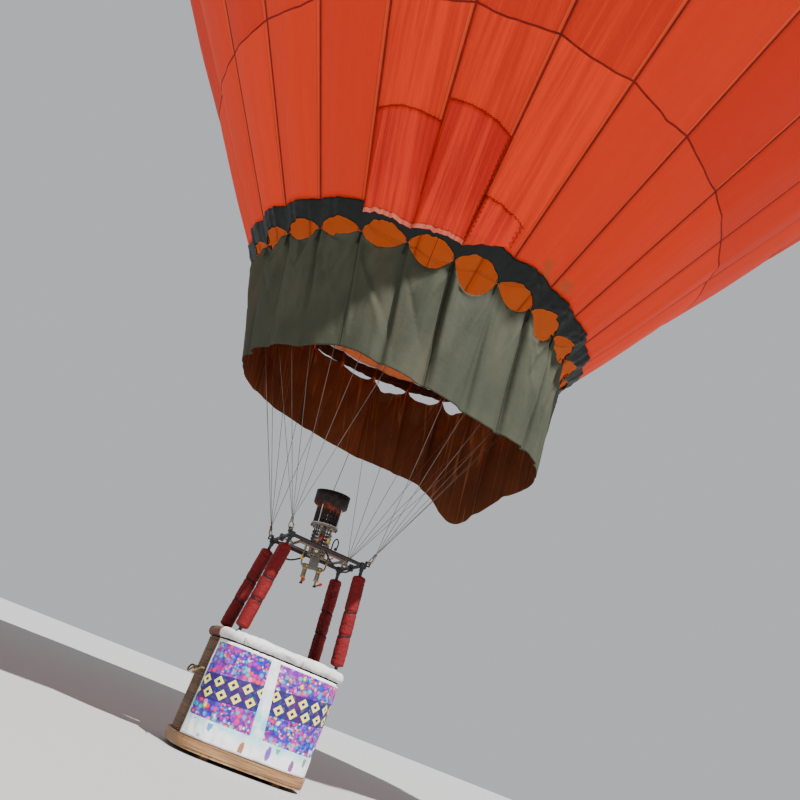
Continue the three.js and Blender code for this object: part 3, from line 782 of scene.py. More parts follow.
def slotted_can():
    slots, per_slot = 24, 6
    columns = slots * per_slot
    profile = np.array([
        (0.1195, 0.263), (0.1195, 0.288), (0.1195, 0.33), (0.1195, 0.37), (0.1195, 0.412),
        (0.1195, 0.436), (0.127, 0.446), (0.156, 0.462), (0.1655, 0.474), (0.1655, 0.53),
        (0.1655, 0.586)])
    points = round_axis(profile[:, :1], angles(columns), profile[:, 1:])
    quads = quads_of(grid_corners(len(profile), columns, True))
    keep = np.ones(quads.shape[:2], bool)
    keep[1:4, np.arange(columns) % per_slot < 2] = False
    sheet = new_piece("burner_can_sheet", points.reshape(-1, 3), quads[keep].tolist(), [can_steel])
    solid = sheet.modifiers.new("sheet", "SOLIDIFY")
    solid.thickness, solid.offset, solid.use_even_offset = 0.0045, 0, False
    return sheet


def ring_path(radius, height):
    return round_axis(radius, angles(48), height)


on_burner(slotted_can(), "burner_can")
on_burner(tubes("can_rolled_edges", [ring_path(0.1655, 0.587)], 0.0045, can_steel, closed=True))
on_burner(tubes("can_foot_ring", [ring_path(0.1265, 0.270)], 0.0065, bright_steel, closed=True))
jet_pipes = [round_axis(0.096, a, np.array([0.268, 0.40, 0.455])) for a in angles(18)]
jets = tubes("burner_jet_pipes", jet_pipes, 0.0055, coil_steel, sides=10)
jet_rings = tubes("jet_rings", [ring_path(0.060, 0.30), ring_path(0.090, 0.34)], 0.008, coil_steel,
                  closed=True)
on_burner(joined("burner_jet_pipes", [jets, jet_rings]))

# %% [markdown]
# ## The burner's plumbing
# Gas goes from the valves through steel pipes to the coil, and a thin copper line feeds the pilot
# light. Most of it is the same on the left and on the right, so that one side is written down and
# the other is its mirror image.

# %% Burner pipes
def mirrored(points):
    """A path on the left of the burner, and the same one on the right."""
    return [[(side * x, y, z) for x, y, z in points] for side in (-1, 1)]


feeds = [
    *mirrored([(0.098, 0, -0.146), (0.112, 0, -0.142), (0.120, 0, -0.120), (0.121, 0, -0.06),
               (0.120, 0, 0.02), (0.114, 0.002, 0.055), (0.096, 0.004, 0.076)]),
    *mirrored([(0.050, -0.052, -0.03), (0.052, -0.074, -0.028), (0.056, -0.108, 0.01),
               (0.054, -0.112, 0.12), (0.050, -0.108, 0.21), (0.046, -0.102, 0.246)]),
]
small_lines = [
    *mirrored([(0.030, 0.052, 0.0), (0.034, 0.078, 0.002), (0.052, 0.106, 0.05),
               (0.05, 0.110, 0.16), (0.04, 0.104, 0.248)]),
    [(0.0, 0.094, -0.150), (0.004, 0.112, -0.146), (0.03, 0.120, -0.10), (0.034, 0.122, 0.0),
     (0.02, 0.118, 0.14), (0.012, 0.112, 0.25)],
]
on_burner(tubes("burner_pipes", [smooth_route(path, 6) for path in feeds], 0.0078, burner_steel,
                sides=12))
on_burner(tubes("burner_copper_lines", [smooth_route(path, 6) for path in small_lines], 0.0036,
                copper, sides=10))


# %% [markdown]
# ## The burner's fittings
# Hexagon nuts, two gauges, coloured shut-off levers, a black carrying loop and red grips on the
# blast levers are there to be read and held. A nut is a short tube with six sides.

# %% Nuts and gauges
NUT_LENGTH = 0.018
NUTS = [
    ((0.100, 0, -0.146), "x"), ((0.121, 0, -0.08), "z"), ((0.120, 0, 0.01), "z"),
    ((0.050, -0.058, -0.03), "y"), ((0.054, -0.112, 0.10), "z"), ((0.046, -0.103, 0.240), "z"),
    ((0.030, 0.058, 0.0), "y"), ((0.068, -0.030, -0.146), "y"),
]
gauge_white = painted_metal("gauge_white", (0.62, 0.61, 0.58), (0.4, 0.4, 0.4), 0.9)


def nut(place, axis):
    """The same nut on the left and on the right."""
    half = np.eye(3)["xyz".index(axis)] * NUT_LENGTH / 2
    return mirrored([place - half, place + half])


def gauge(x, z):
    """A small round gauge on the front of the valve block."""
    place = Matrix.Translation((x, -0.053, z)) @ Matrix.Rotation(math.radians(90), 4, "X")
    case = [(0.0, 0.0), (0.022, 0.0), (0.026, 0.003), (0.026, 0.017), (0.0245, 0.020),
            (0.0225, 0.0195), (0.0225, 0.0165), (0.0, 0.0165)]
    dial = [(0.0, 0.0168), (0.0215, 0.0168), (0.0215, 0.0178), (0.0, 0.0178)]
    needle = [(x - 0.006, -0.0715, z - 0.005), (x + 0.012, -0.0715, z + 0.010)]
    return [turned("gauge_case", case, brass, 32, place),
            turned("gauge_dial", dial, gauge_white, 32, place),
            tubes("gauge_needle", [needle], 0.0012, black_paint, sides=6)]


nuts = [path for place, axis in NUTS for path in nut(place, axis)]
collars = [path for z in (-0.180, -0.262)
           for path in mirrored([(0.068, 0, z), (0.068, 0, z + 0.016)])]
fittings = joined("burner_fittings", [
    tubes("nuts", nuts, 0.0135, brass, sides=6), tubes("collars", collars, 0.027, brass, sides=6),
    *gauge(-0.028, 0.012), *gauge(0.034, 0.012)])
on_burner(softened(fittings, 0.0012))

stays = [[(x, y, 0.044), (x, y, 0.246)] for x in (-0.058, 0.058) for y in (-0.046, 0.046)]
on_burner(tubes("burner_stays", stays, 0.0055, bright_steel, sides=10))
bolts = [round_axis(0.128, a, np.array([0.236, 0.245])) for a in 0.13 + angles(12)]
bolts += [[(x, y, 0.041), (x, y, 0.049)] for x in (-0.066, 0.066) for y in (-0.043, 0.043)]
on_burner(tubes("burner_bolts", bolts, 0.0065, wire_steel, sides=6))

# %% Levers, loop and grips
yellow = [[(-0.126, -0.012, -0.10), (-0.142, -0.03, -0.085), (-0.150, -0.075, -0.075)],
          [(0.040, -0.125, 0.105), (0.036, -0.150, 0.125), (0.030, -0.176, 0.130)]]
red = [[(0.127, -0.012, -0.03), (0.142, -0.030, -0.022), (0.148, -0.072, -0.014)],
       [(-0.040, -0.125, 0.105), (-0.038, -0.148, 0.120), (-0.034, -0.170, 0.124)]]
for name, paths, finish in (("yellow_shutoffs", yellow, yellow_paint),
                            ("red_shutoffs", red, red_paint)):
    levers = tubes(name, [smooth_route(path, 5) for path in paths], 0.0105, finish, sides=12,
                   flat=0.45)
    on_burner(softened(levers, 0.001))
loop = smooth_route([(0.074, -0.034, 0.02), (0.104, -0.05, 0.028), (0.112, -0.062, 0.08),
                     (0.116, -0.066, 0.14), (0.138, -0.068, 0.172), (0.160, -0.068, 0.150),
                     (0.163, -0.068, 0.105), (0.152, -0.068, 0.075)], 7)
ball = [(0.0, -0.016), (0.009, -0.0135), (0.0145, -0.007), (0.016, 0.0), (0.0145, 0.007),
        (0.009, 0.0135), (0.0, 0.016)]
on_burner(joined("burner_carrying_loop", [
    tubes("loop", [loop], 0.0062, hose_rubber, sides=12),
    turned("loop_ball", ball, hose_rubber, 20, Matrix.Translation(loop[-1].tolist()))]))
grips = mirrored([(0.0815, -0.108, -0.2975), (0.0835, -0.128, -0.2950), (0.0862, -0.1525, -0.2915)])
on_burner(tubes("lever_grips", grips, (0.0122, 0.0140, 0.0130), red_paint, sides=16))

# %% [markdown]
# ## The envelope's shape
# Seen from the side the envelope is a cone, then a round belt, then a flatter dome. Seen from above
# it has 24 gores that bulge between the load tapes. A table of the outline gives radius and height
# for each length of cloth from the mouth, and one function places any point of the cloth.

# %% Envelope: outline table
GORES = 24
TAPE_PHASE = math.radians(7.2)
CONE = math.radians(34.8)
MOUTH_Z, MOUTH_R = 4.55, 1.70
EQUATOR_R, DOME_RISE, HOLE_R = 8.10, 6.70, 2.30
TANGENT_Z = MOUTH_Z + (EQUATOR_R * math.cos(CONE) - MOUTH_R) / math.tan(CONE)
EQUATOR_Z = TANGENT_Z + EQUATOR_R * math.sin(CONE)

cone_z = np.linspace(MOUTH_Z - 0.3, TANGENT_Z, 200, endpoint=False)
belt_t = np.linspace(-CONE, 0, 200, endpoint=False)
dome_t = np.linspace(0, math.acos(0.1 / EQUATOR_R), 500)
outline_r = np.concatenate([MOUTH_R + (cone_z - MOUTH_Z) * math.tan(CONE),
                            EQUATOR_R * np.cos(belt_t), EQUATOR_R * np.cos(dome_t)])
outline_z = np.concatenate([cone_z, EQUATOR_Z + EQUATOR_R * np.sin(belt_t),
                            EQUATOR_Z + DOME_RISE * np.sin(dome_t)])
outline_s = np.concatenate([[0], np.cumsum(np.hypot(np.diff(outline_r), np.diff(outline_z)))])
outline_s -= np.interp(MOUTH_Z, outline_z, outline_s)
slope_r = np.gradient(outline_r, outline_s)
slope_z = np.gradient(outline_z, outline_s)


def run_at(height):
    """Length of cloth from the mouth up to a height."""
    return float(np.interp(height, outline_z, outline_s))


def chord_at(run):
    """Width of one gore, from tape to tape, at a length from the mouth."""
    return np.interp(run, outline_s, outline_r) * TURN / GORES


def dome_height(radius):
    return EQUATOR_Z + DOME_RISE * np.sqrt(1 - (radius / EQUATOR_R) ** 2)


def tape_angles(per_gore):
    """Angles of that many columns in each gore, from the first tape on."""
    return TAPE_PHASE + angles(GORES * per_gore)


HOLE_Z = dome_height(HOLE_R)
SEAM_RUNS = [FIRST_SEAM + PANEL_LENGTH * i for i in range(12)]
print("equator at", round(EQUATOR_Z, 3), "cloth from mouth to hole", round(run_at(HOLE_Z), 2))

# %% [markdown]
# ## The envelope's cloth
# Hot air presses the cloth out between the tapes, seams draw it in, and long folds start at the
# mouth. All of that is worked out for any point, so that bands and stitches can lie on it too.

# %% Envelope: cloth surface
folds = np.random.default_rng(24)
FOLDS = [  # gore, place across it, run, lean, length, width, depth
    (folds.integers(GORES), folds.uniform(0.15, 0.85), folds.uniform(0, 24),
     folds.uniform(-0.06, 0.06), folds.uniform(0.9, 3.0), folds.uniform(0.07, 0.16),
     folds.uniform(-0.022, 0.026))
    for _ in range(200)
]
GATHERED = {14: 0.4, 15: 1.0, 16: 1.0, 17: 0.6, 18: 0.35, 19: 0.4, 20: 0.4, 12: 0.25, 13: 0.25}
for gore, depth in GATHERED.items():
    for across in np.linspace(0.1, 0.9, 8) + folds.uniform(-0.04, 0.04, 8):
        FOLDS.append((gore, across, 0.1, folds.uniform(-0.05, 0.05), folds.uniform(0.45, 1.9),
                      folds.uniform(0.030, 0.055),
                      depth * folds.choice([-0.020, 0.026]) * folds.uniform(0.6, 1.0)))
GATHER_PHASES = folds.uniform(0, TURN, (GORES, 3))


def gore_of(theta):
    """Gore number, and how far across it from 0 to 1."""
    turns = ((theta - TAPE_PHASE) * GORES / TURN) % GORES
    gore = np.floor(turns + 1e-9).astype(int) % GORES
    return gore, np.clip(turns - np.floor(turns + 1e-9), 0, 1)


def cloth_point(run, theta, proud=0.0):
    """Points of the envelope for arrays of run and angle, as an array of x, y and z."""
    run, theta = np.broadcast_arrays(np.asarray(run, float), np.asarray(theta, float))
    radius = np.interp(run, outline_s, outline_r)
    height = np.interp(run, outline_s, outline_z)
    normal_out = np.interp(run, outline_s, slope_z)
    normal_up = -np.interp(run, outline_s, slope_r)
    gore, across = gore_of(theta)
    chord = TURN * radius / GORES
    lobe = np.sin(math.pi * across)
    out = 0.093 * chord * lobe ** 0.85
    for number, share in ((3, 0.010), (5, 0.006)):
        phase = GATHER_PHASES[gore, number % 3]
        out = out + share * np.exp(-run / 1.0) * lobe * np.sin(TURN * number * across + phase)
    drooped = run + 0.5 * SEAM_DROOP * chord * (1 - (2 * across - 1) ** 2)
    for seam in SEAM_RUNS:
        out = out - 0.010 * np.exp(-((drooped - seam) / 0.08) ** 2) * lobe
    pillow = np.sin(math.pi * ((drooped - SEAM_RUNS[0]) / PANEL_LENGTH)) ** 2
    out = out + 0.016 * pillow * lobe
    for number, place, begin, lean, long, wide, deep in FOLDS:
        here = (np.abs(run - begin) < 3 * long) & (gore == number)
        if here.any():
            middle = place + lean * (run[here] - begin)
            line = np.exp(-((across[here] - middle) / wide) ** 2)
            line = line * np.exp(-((run[here] - begin) / long) ** 2)
            out[here] += deep * line * lobe[here]
    dome = height > EQUATOR_Z
    reach = radius + np.where(dome, normal_out, 1.0) * out + normal_out * proud
    rise = height + np.where(dome, normal_up, 0.0) * out + normal_up * proud
    return round_axis(reach, theta, up(rise))


# %% [markdown]
# ## Rings of envelope cloth
# The envelope is sewn from rings of panels. Each CAD ring gets its own piece of cloth, with rows
# close together where the camera is near. The UV map is in metres, each panel has its own tone,
# and each point knows how far it is from the nearest tape.

# %% Envelope: rings
RINGS = [  # name, height of a row, columns in each gore
    ("lower", 0.08, 24), ("flank", 0.12, 20), ("belt", 0.12, 14), ("waist", 0.14, 12),
    ("equator", 0.15, 12), ("shoulder", 0.15, 12), ("upper", 0.15, 12), ("crown_low", 0.15, 12),
    ("crown_middle", 0.15, 12), ("crown_high", 0.15, 12),
]
DOME_SEAMS = [EQUATOR_Z + DOME_RISE * math.sin(math.radians(a)) for a in (26, 36, 46, 59)]
RING_EDGES = [4.75, 7.85, 11.15, 12.9, 14.7, 17.45, *DOME_SEAMS, HOLE_Z]


def gore_cloth(name, points, chord, level, thickness):
    """Cloth over all the gores, for the width of a gore and the length along it at each row."""
    rows, columns, _ = points.shape
    per_gore = columns // GORES
    number = np.arange(columns)
    side = (number % per_gore) / per_gore - 0.5
    west, east = side * chord, (side + 1 / per_gore) * chord
    level = np.broadcast_to(level, west.shape)
    near, far = slice(None, -1), slice(1, None)
    corners = [(west[near], level[near]), (east[near], level[near]), (east[far], level[far]),
               (west[far], level[far])]
    uv = np.stack([np.stack(corner, -1) for corner in corners], 2)
    gore = np.broadcast_to(number // per_gore, (rows - 1, columns))
    half = np.broadcast_to(chord / 2, (rows, columns))
    return cloth_piece(name, points, uv, [cloth_orange, cloth_lining], wrap=True,
                       thickness=thickness, face_values={"gore": gore}, point_values={"half": half})


def ring_of_cloth(name, low_run, high_run, row, per_gore):
    rows = max(3, int(math.ceil((high_run - low_run) / row)) + 1)
    run = np.linspace(low_run, high_run, rows)[:, None]
    return gore_cloth(name, cloth_point(run, tape_angles(per_gore)), chord_at(run), run, 0.003)


total = 0
for (name, row, per_gore), low, high in zip(RINGS, RING_EDGES, RING_EDGES[1:]):
    node = "envelope_" + name
    piece = ring_of_cloth(node + "_cloth", run_at(low), run_at(high), row, per_gore)
    belongs(piece, "balloon", node)
    total += 4 * len(piece.data.polygons)
print("envelope cloth, about", total, "triangles")

# %% [markdown]
# ## A kit for Geometry Nodes
# Things that repeat are made by a node tree: load tapes, wires and willow rods. A tree is
# built in code with named inputs, run on a base mesh of edges, and its result kept as a plain mesh.

# %% Geometry Nodes kit
class Steps:
    def __init__(self, name, inputs):
        self.group = bpy.data.node_groups.new(name, "GeometryNodeTree")
        face = self.group.interface
        face.new_socket("Geometry", in_out="INPUT", socket_type="NodeSocketGeometry")
        for label, (kind, default) in inputs.items():
            socket = face.new_socket(label, in_out="INPUT", socket_type="NodeSocket" + kind)
            if default is not None:
                socket.default_value = default
        face.new_socket("Geometry", in_out="OUTPUT", socket_type="NodeSocketGeometry")
        self.start = self.group.nodes.new("NodeGroupInput")
        self.end = self.group.nodes.new("NodeGroupOutput")

    def given(self, label):
        return self.start.outputs[label]

    def node(self, kind, settings=None, sockets=None, output=0):
        made = self.group.nodes.new(kind)
        for key, value in (settings or {}).items():
            setattr(made, key, value)
        for key, value in (sockets or {}).items():
            if isinstance(value, bpy.types.NodeSocket):
                self.group.links.new(value, made.inputs[key])
            else:
                made.inputs[key].default_value = value
        return made.outputs[output]

    def math(self, operation, first, second=0.0):
        return self.node("ShaderNodeMath", {"operation": operation}, {0: first, 1: second})

    def finish(self, geometry):
        whole = self.node("GeometryNodeRealizeInstances", sockets={0: geometry})
        dressed = self.node("GeometryNodeSetMaterial",
                            sockets={0: whole, "Material": self.given("Material")})
        smooth = self.node("GeometryNodeSetShadeSmooth", sockets={0: dressed})
        self.group.links.new(smooth, self.end.inputs[0])
        return self


def edges_object(name, lines, closed=False):
    """A mesh of edges only: one line of edges for each list of points."""
    vertices, edges = [], []
    for line in lines:
        first = len(vertices)
        vertices += [tuple(p) for p in line]
        edges += [(first + i, first + i + 1) for i in range(len(line) - 1)]
        if closed:
            edges.append((len(vertices) - 1, first))
    mesh = bpy.data.meshes.new(name)
    mesh.from_pydata(vertices, edges, [])
    return linked(name, mesh)


def grown(steps, base, name, values):
    """Runs the steps on a base object and returns the result as a piece of its own."""
    modifier = base.modifiers.new("steps", "NODES")
    modifier.node_group = steps.group
    for item in steps.group.interface.items_tree:
        if item.item_type == "SOCKET" and item.in_out == "INPUT" and item.name in values:
            modifier[item.identifier] = values[item.name]
    evaluated = base.evaluated_get(bpy.context.evaluated_depsgraph_get())
    mesh = bpy.data.meshes.new_from_object(evaluated)
    base.modifiers.remove(modifier)
    bpy.data.objects.remove(base)
    mesh.name = name
    print(name, "has", len(mesh.polygons), "faces")
    return linked(name, mesh)


# %% [markdown]
# ## Load tapes
# A webbing tape runs up each valley between two gores, from the mouth to the crown, and carries the
# load. One tape follows the outline, and the tree turns 24 copies of it round the axis.

# %% Load tapes
tape_steps = Steps("ring_of_tapes", {
    "Count": ("Int", 24),
    "Tape Width": ("Float", 0.03),
    "Tape Thick": ("Float", 0.004),
    "Material": ("Material", None),
})
add, given = tape_steps.node, tape_steps.given
line = add("GeometryNodeMeshToCurve", sockets={0: given("Geometry")})
flat_profile = add("GeometryNodeCurvePrimitiveQuadrilateral", sockets={
    "Width": given("Tape Width"), "Height": given("Tape Thick")})
tape = add("GeometryNodeCurveToMesh", sockets={
    "Curve": line, "Profile Curve": flat_profile, "Fill Caps": True})
spots = add("GeometryNodePoints", sockets={"Count": given("Count")})
part_of_turn = tape_steps.math("DIVIDE", TURN, given("Count"))
angle = tape_steps.math("MULTIPLY", add("GeometryNodeInputIndex"), part_of_turn)
tape_steps.finish(add("GeometryNodeInstanceOnPoints", sockets={
    "Points": spots, "Instance": tape,
    "Rotation": add("ShaderNodeCombineXYZ", sockets={2: angle})}))

tape_runs = np.linspace(run_at(MOUTH_Z) - 0.02, run_at(HOLE_Z), 150)
tape_line = cloth_point(tape_runs, np.full(150, TAPE_PHASE), 0.003)
load_tapes = grown(tape_steps, edges_object("tape_line", [tape_line]), "load_tapes", {
    "Count": GORES, "Tape Width": 0.018, "Tape Thick": 0.004, "Material": tape_webbing})
belongs(load_tapes, "balloon")

# %% [markdown]
# ## Cross seams
# Panels meet in a folded seam that runs round each gore. It shows as a thin dark line that follows
# the bulge of the cloth, so it is a narrow closed band on the same surface.

# %% Cross seams
SEAM_WIDTH, SEAM_THICK = 0.016, 0.003


def seam_band(seam, per_gore):
    across = (np.arange(GORES * per_gore) % per_gore) / per_gore
    run = seam - 0.5 * SEAM_DROOP * chord_at(seam) * (1 - (2 * across - 1) ** 2)
    corners = [(-0.5, -0.001), (0.5, -0.001), (0.5, SEAM_THICK), (-0.5, SEAM_THICK)]
    return np.stack([cloth_point(run + r * SEAM_WIDTH, tape_angles(per_gore), p)
                     for r, p in corners], 1)


bands = []
for seam in SEAM_RUNS:
    if seam < run_at(HOLE_Z) - 0.1:
        ring = np.searchsorted(RING_EDGES, np.interp(seam, outline_s, outline_z)) - 1
        bands.append(seam_band(seam, RINGS[ring][2]))
cross_seams = tube_piece("cross_seams", bands, tape_webbing, closed=True)
belongs(cross_seams, "balloon")

# %% [markdown]
# ## Repaired panels
# Two gores above the front of the mouth have been given new cloth, a little redder than the rest,
# with a hem of paler cloth over the black band. A smaller patch beside them is held by zigzag
# stitches. Each is a thin piece of cloth that lies on the surface.

# %% Repaired panels
cloth_hem = balloon_cloth("hem_cloth", (0.92, 0.22, 0.14), (0.74, 0.06, 0.03), (0.9, 0.3, 0.2),
                          pleats=2.5, share=0.1, patch=True)


def laid_patch(name, gore, across, low, high, material, proud, row=0.05, per_gore=24):
    """A patch on one gore. low and high are lengths from the mouth at its two sides."""
    columns = int(round((across[1] - across[0]) * per_gore))
    share = np.linspace(across[0], across[1], columns + 1)[None, :]
    rows = int((max(high) - min(low)) / row) + 2
    up_share = np.linspace(0, 1, rows)[:, None]
    side = (share - across[0]) / (across[1] - across[0])
    bottom, top = (e[0] + (e[1] - e[0]) * side for e in (low, high))
    run = bottom + (top - bottom) * up_share
    theta = TAPE_PHASE + (gore + share) * TURN / GORES
    chord = chord_at(run)
    uv = np.stack([(share - 0.5) * chord, run], -1)
    piece = cloth_piece(name, cloth_point(run, theta, proud(side, up_share)), uv, [material],
                        thickness=0.002,
                        face_values={"gore": np.full((rows - 1) * columns, float(gore))},
                        point_values={"half": chord * 0.5})
    belongs(piece, "balloon")


def ragged(side, up_share):
    wave = np.sin(side * 41) * 0.4 + np.sin(side * 97 + 3 * up_share) * 0.35
    return 0.028 + 0.006 * wave * (1 - 0.5 * up_share)


def thinning(side, up_share):
    return 0.021 - 0.016 * up_share ** 0.5


for name, gore, low, high in (("new_panel_left", 15, (0.17, 0.12), (1.05, 1.04)),
                              ("new_panel_right", 16, (0.13, 0.15), (1.24, 1.12))):
    laid_patch(name, gore, (0.0, 1.0), low, high, cloth_patch, thinning)
for name, gore, low, high in (("new_hem_left", 15, (0.155, 0.105), (0.195, 0.145)),
                              ("new_hem_right", 16, (0.115, 0.135), (0.155, 0.175))):
    laid_patch(name, gore, (0.0, 1.0), low, high, cloth_hem, ragged, row=0.010, per_gore=60)
laid_patch("small_patch", 17, (0.0, 0.80), (0.13, 0.29), (0.60, 0.50), cloth_patch, thinning)

# %% [markdown]
# ## Zigzag stitches
# The small patch and the new panels are held by coarse zigzag stitches in a dark thread. The line
# of each seam is a path on the cloth, and the stitches step from side to side along it.

# %% Zigzag stitches
def zigzag(gore, start, end, pitch, wide, proud):
    """start and end are (share across, length from the mouth)."""
    start, end = np.array(start, float), np.array(end, float)
    metres = np.array([chord_at((start[1] + end[1]) / 2), 1.0])
    span = (end - start) * metres
    steps = int(np.linalg.norm(span) / pitch)
    line = start + (end - start) * np.linspace(0, 1, steps)[:, None]
    across = np.array([-span[1], span[0]]) / np.linalg.norm(span) * wide / 2
    swing = np.where(np.arange(steps) % 2 == 0, 1.0, -1.0)[:, None]
    line = line + swing * across / metres
    theta = TAPE_PHASE + (gore + line[:, 0]) * TURN / GORES
    return cloth_point(line[:, 1], theta, proud)


stitch_lines = [
    zigzag(17, (0.02, 0.16), (0.02, 0.60), 0.020, 0.045, 0.013),
    zigzag(17, (0.78, 0.28), (0.78, 0.50), 0.020, 0.045, 0.013),
    zigzag(17, (0.02, 0.60), (0.78, 0.50), 0.016, 0.014, 0.012),
    zigzag(16, (0.98, 0.26), (0.98, 1.10), 0.022, 0.030, 0.011),
    zigzag(16, (0.02, 1.24), (0.98, 1.12), 0.014, 0.012, 0.010),
    zigzag(15, (0.02, 1.05), (0.98, 1.04), 0.014, 0.012, 0.010),
]
stitches = tubes("patch_stitches", stitch_lines, 0.0028, tape_webbing, sides=5)
belongs(stitches, "balloon")

# %% [markdown]
# ## The black band round the mouth
# Under the orange cloth a black band stiffens the mouth. Its lower edge is drawn up between the
# tapes, so that a lens-shaped gap opens over the skirt, and the drawn cloth twists into a soft roll
# that hides the ends of the load tapes.

# %% Mouth band
GAP_SHAPES = {  # of a gore: how far the band is drawn up, and how far the skirt sags
    13: (0.085, 0.085), 14: (0.09, 0.080), 15: (0.10, 0.115), 16: (0.10, 0.165),
    17: (0.115, 0.245), 18: (0.10, 0.135), 19: (0.105, 0.155), 20: (0.10, 0.13), 5: (0.05, 0.06),
    6: (0.03, 0.03), 7: (0.03, 0.03), 4: (0.08, 0.09), 3: (0.08, 0.10), 2: (0.09, 0.12),
}
BAND_ARCH, SKIRT_SAG = np.array([GAP_SHAPES.get(gore, (0.09, 0.11)) for gore in range(GORES)]).T
PUCKERS = {15: 0.2, 16: 0.2, 17: 0.4, 18: 2.0, 19: 2.0, 20: 1.8}
BAND_PUCKER = np.array([PUCKERS.get(gore, 1.0) for gore in range(GORES)])


def lens(across):
    """The rounded outline of a gap between two tapes, from 0 at each tape to 1 in the middle."""
    return np.sin(math.pi * across) ** 0.68


def mouth_band():
    per_gore, rows = 24, 13
    columns = GORES * per_gore
    theta = tape_angles(per_gore)
    gore, across = gore_of(theta)
    lobe = np.sin(math.pi * across)
    share = np.linspace(0, 1, rows)[:, None]
    low = run_at(MOUTH_Z - 0.01) + BAND_ARCH[gore] * lens(across)
    high = run_at(RING_EDGES[0]) + 0.012 * lobe * np.sin(GATHER_PHASES[gore, 0]) + 0.010
    run = low + (high - low) * share
    wave = np.sin(TURN * (1.5 * across + 1.1 * share) + GATHER_PHASES[gore, 1])
    wave += 0.6 * np.sin(TURN * (3 * across - 1.6 * share) + GATHER_PHASES[gore, 2])
    roll = np.sin(math.pi * share) ** 0.7
    proud = 0.011 + (0.004 + 0.005 * (1 + wave) * lobe * BAND_PUCKER[gore]) * roll
    wide = np.arange(columns + 1) * TURN / columns * MOUTH_R
    uv = np.stack(np.broadcast_arrays(wide, share * 0.22), -1)
    return cloth_piece("mouth_band_cloth", cloth_point(run, theta, proud), uv, [cloth_black],
                       wrap=True, thickness=0.003)


belongs(mouth_band(), "balloon", "mouth_band")

# %% [markdown]
# ## The skirt
# The skirt is a tube of heat-proof cloth that hangs from the 24 tape ends. Its top edge sags in
# between, and its hem is cut longer on one side. This cell works out that shape, before any folds.
# It starts a little too wide, because the extra width is what gravity turns into folds.

# %% Skirt: cut
SKIRT_DROP, SKIRT_R, SKIRT_TOP_R = 1.15, 1.57, 1.696
SKIRT_GIRTH = math.pi * (SKIRT_R + SKIRT_TOP_R)
SKIRT_SHIFT = (0.150, -0.110, 0)
SKIRT_ROWS, SKIRT_PER_GORE = 34, 12
SKIRT_FULLNESS = np.random.default_rng(31).uniform(0.35, 1.6, GORES)
HEM_LOBES = [  # direction in degrees, spread, extra length
    (32, 15, 0.38), (282, 24, 0.11), (233, 9, -0.05), (110, 60, -0.09),
]


def degrees_from(turn, middle):
    """Difference of two directions, between -180 and 180."""
    return (turn - middle + 540) % 360 - 180


def skirt_cut(rows=SKIRT_ROWS, per_gore=SKIRT_PER_GORE, fullness=0.0):
    """Points of the skirt, the cloth above each of them, and the cloth from top to hem."""
    theta = tape_angles(per_gore)
    share = np.linspace(1, 0, rows)[:, None]
    gore, across = gore_of(theta)
    drop = SKIRT_DROP - SKIRT_SAG[gore] * lens(across)
    for toward, spread, extra in HEM_LOBES:
        drop = drop + extra * np.exp(-((degrees_from(np.degrees(theta), toward) / spread) ** 2))
    full = fullness * SKIRT_FULLNESS[gore] * np.sin(math.pi * across)
    out = SKIRT_TOP_R + (SKIRT_R - SKIRT_TOP_R) * share + full * (0.55 + 0.2 * share)
    z = MOUTH_Z - 0.004 - SKIRT_SAG[gore] * lens(across) - share * drop
    points = round_axis(out, theta, up(z)) + share[..., None] * SKIRT_SHIFT
    return points, share * drop, drop


# %% [markdown]
# ## Letting the skirt drape
# A cloth simulation hangs the tube by its 24 top points and lets it settle. Only the folds are
# kept: the slow part of each row's movement round the ring is taken out, so that the hem stays
# where the photograph has it.

# %% Skirt: drape
def settled(points, faces, pinned, frames, gravity=1.0, stiff=25.0, bend=0.12, pressure=0.0,
            slack=0.0):
    """Runs Blender's cloth from these points and returns where they come to rest."""
    sheet = new_piece("draping", points.reshape(-1, 3), faces, [])
    group = sheet.vertex_groups.new(name="held")
    group.add([int(i) for i in pinned], 1.0, "REPLACE")
    cloth = sheet.modifiers.new("drape", "CLOTH")
    rules = cloth.settings
    rules.quality = 6
    rules.mass = 0.25
    rules.tension_stiffness = rules.compression_stiffness = stiff
    rules.shear_stiffness = stiff / 3
    rules.bending_stiffness = bend
    rules.air_damping = 2
    rules.vertex_group_mass = "held"
    rules.effector_weights.gravity = gravity
    rules.use_pressure = pressure > 0
    rules.uniform_pressure_force = pressure
    rules.shrink_min = -slack
    cloth.collision_settings.use_collision = False
    cloth.point_cache.frame_end = frames
    scene = bpy.context.scene
    scene.frame_start, scene.frame_end = 1, frames
    for number in range(1, frames + 1):
        scene.frame_set(number)
    hung = sheet.evaluated_get(bpy.context.evaluated_depsgraph_get())
    places = np.empty(points.size)
    hung.data.vertices.foreach_get("co", places)
    bpy.data.objects.remove(sheet)
    scene.frame_set(1)
    return places.reshape(points.shape)


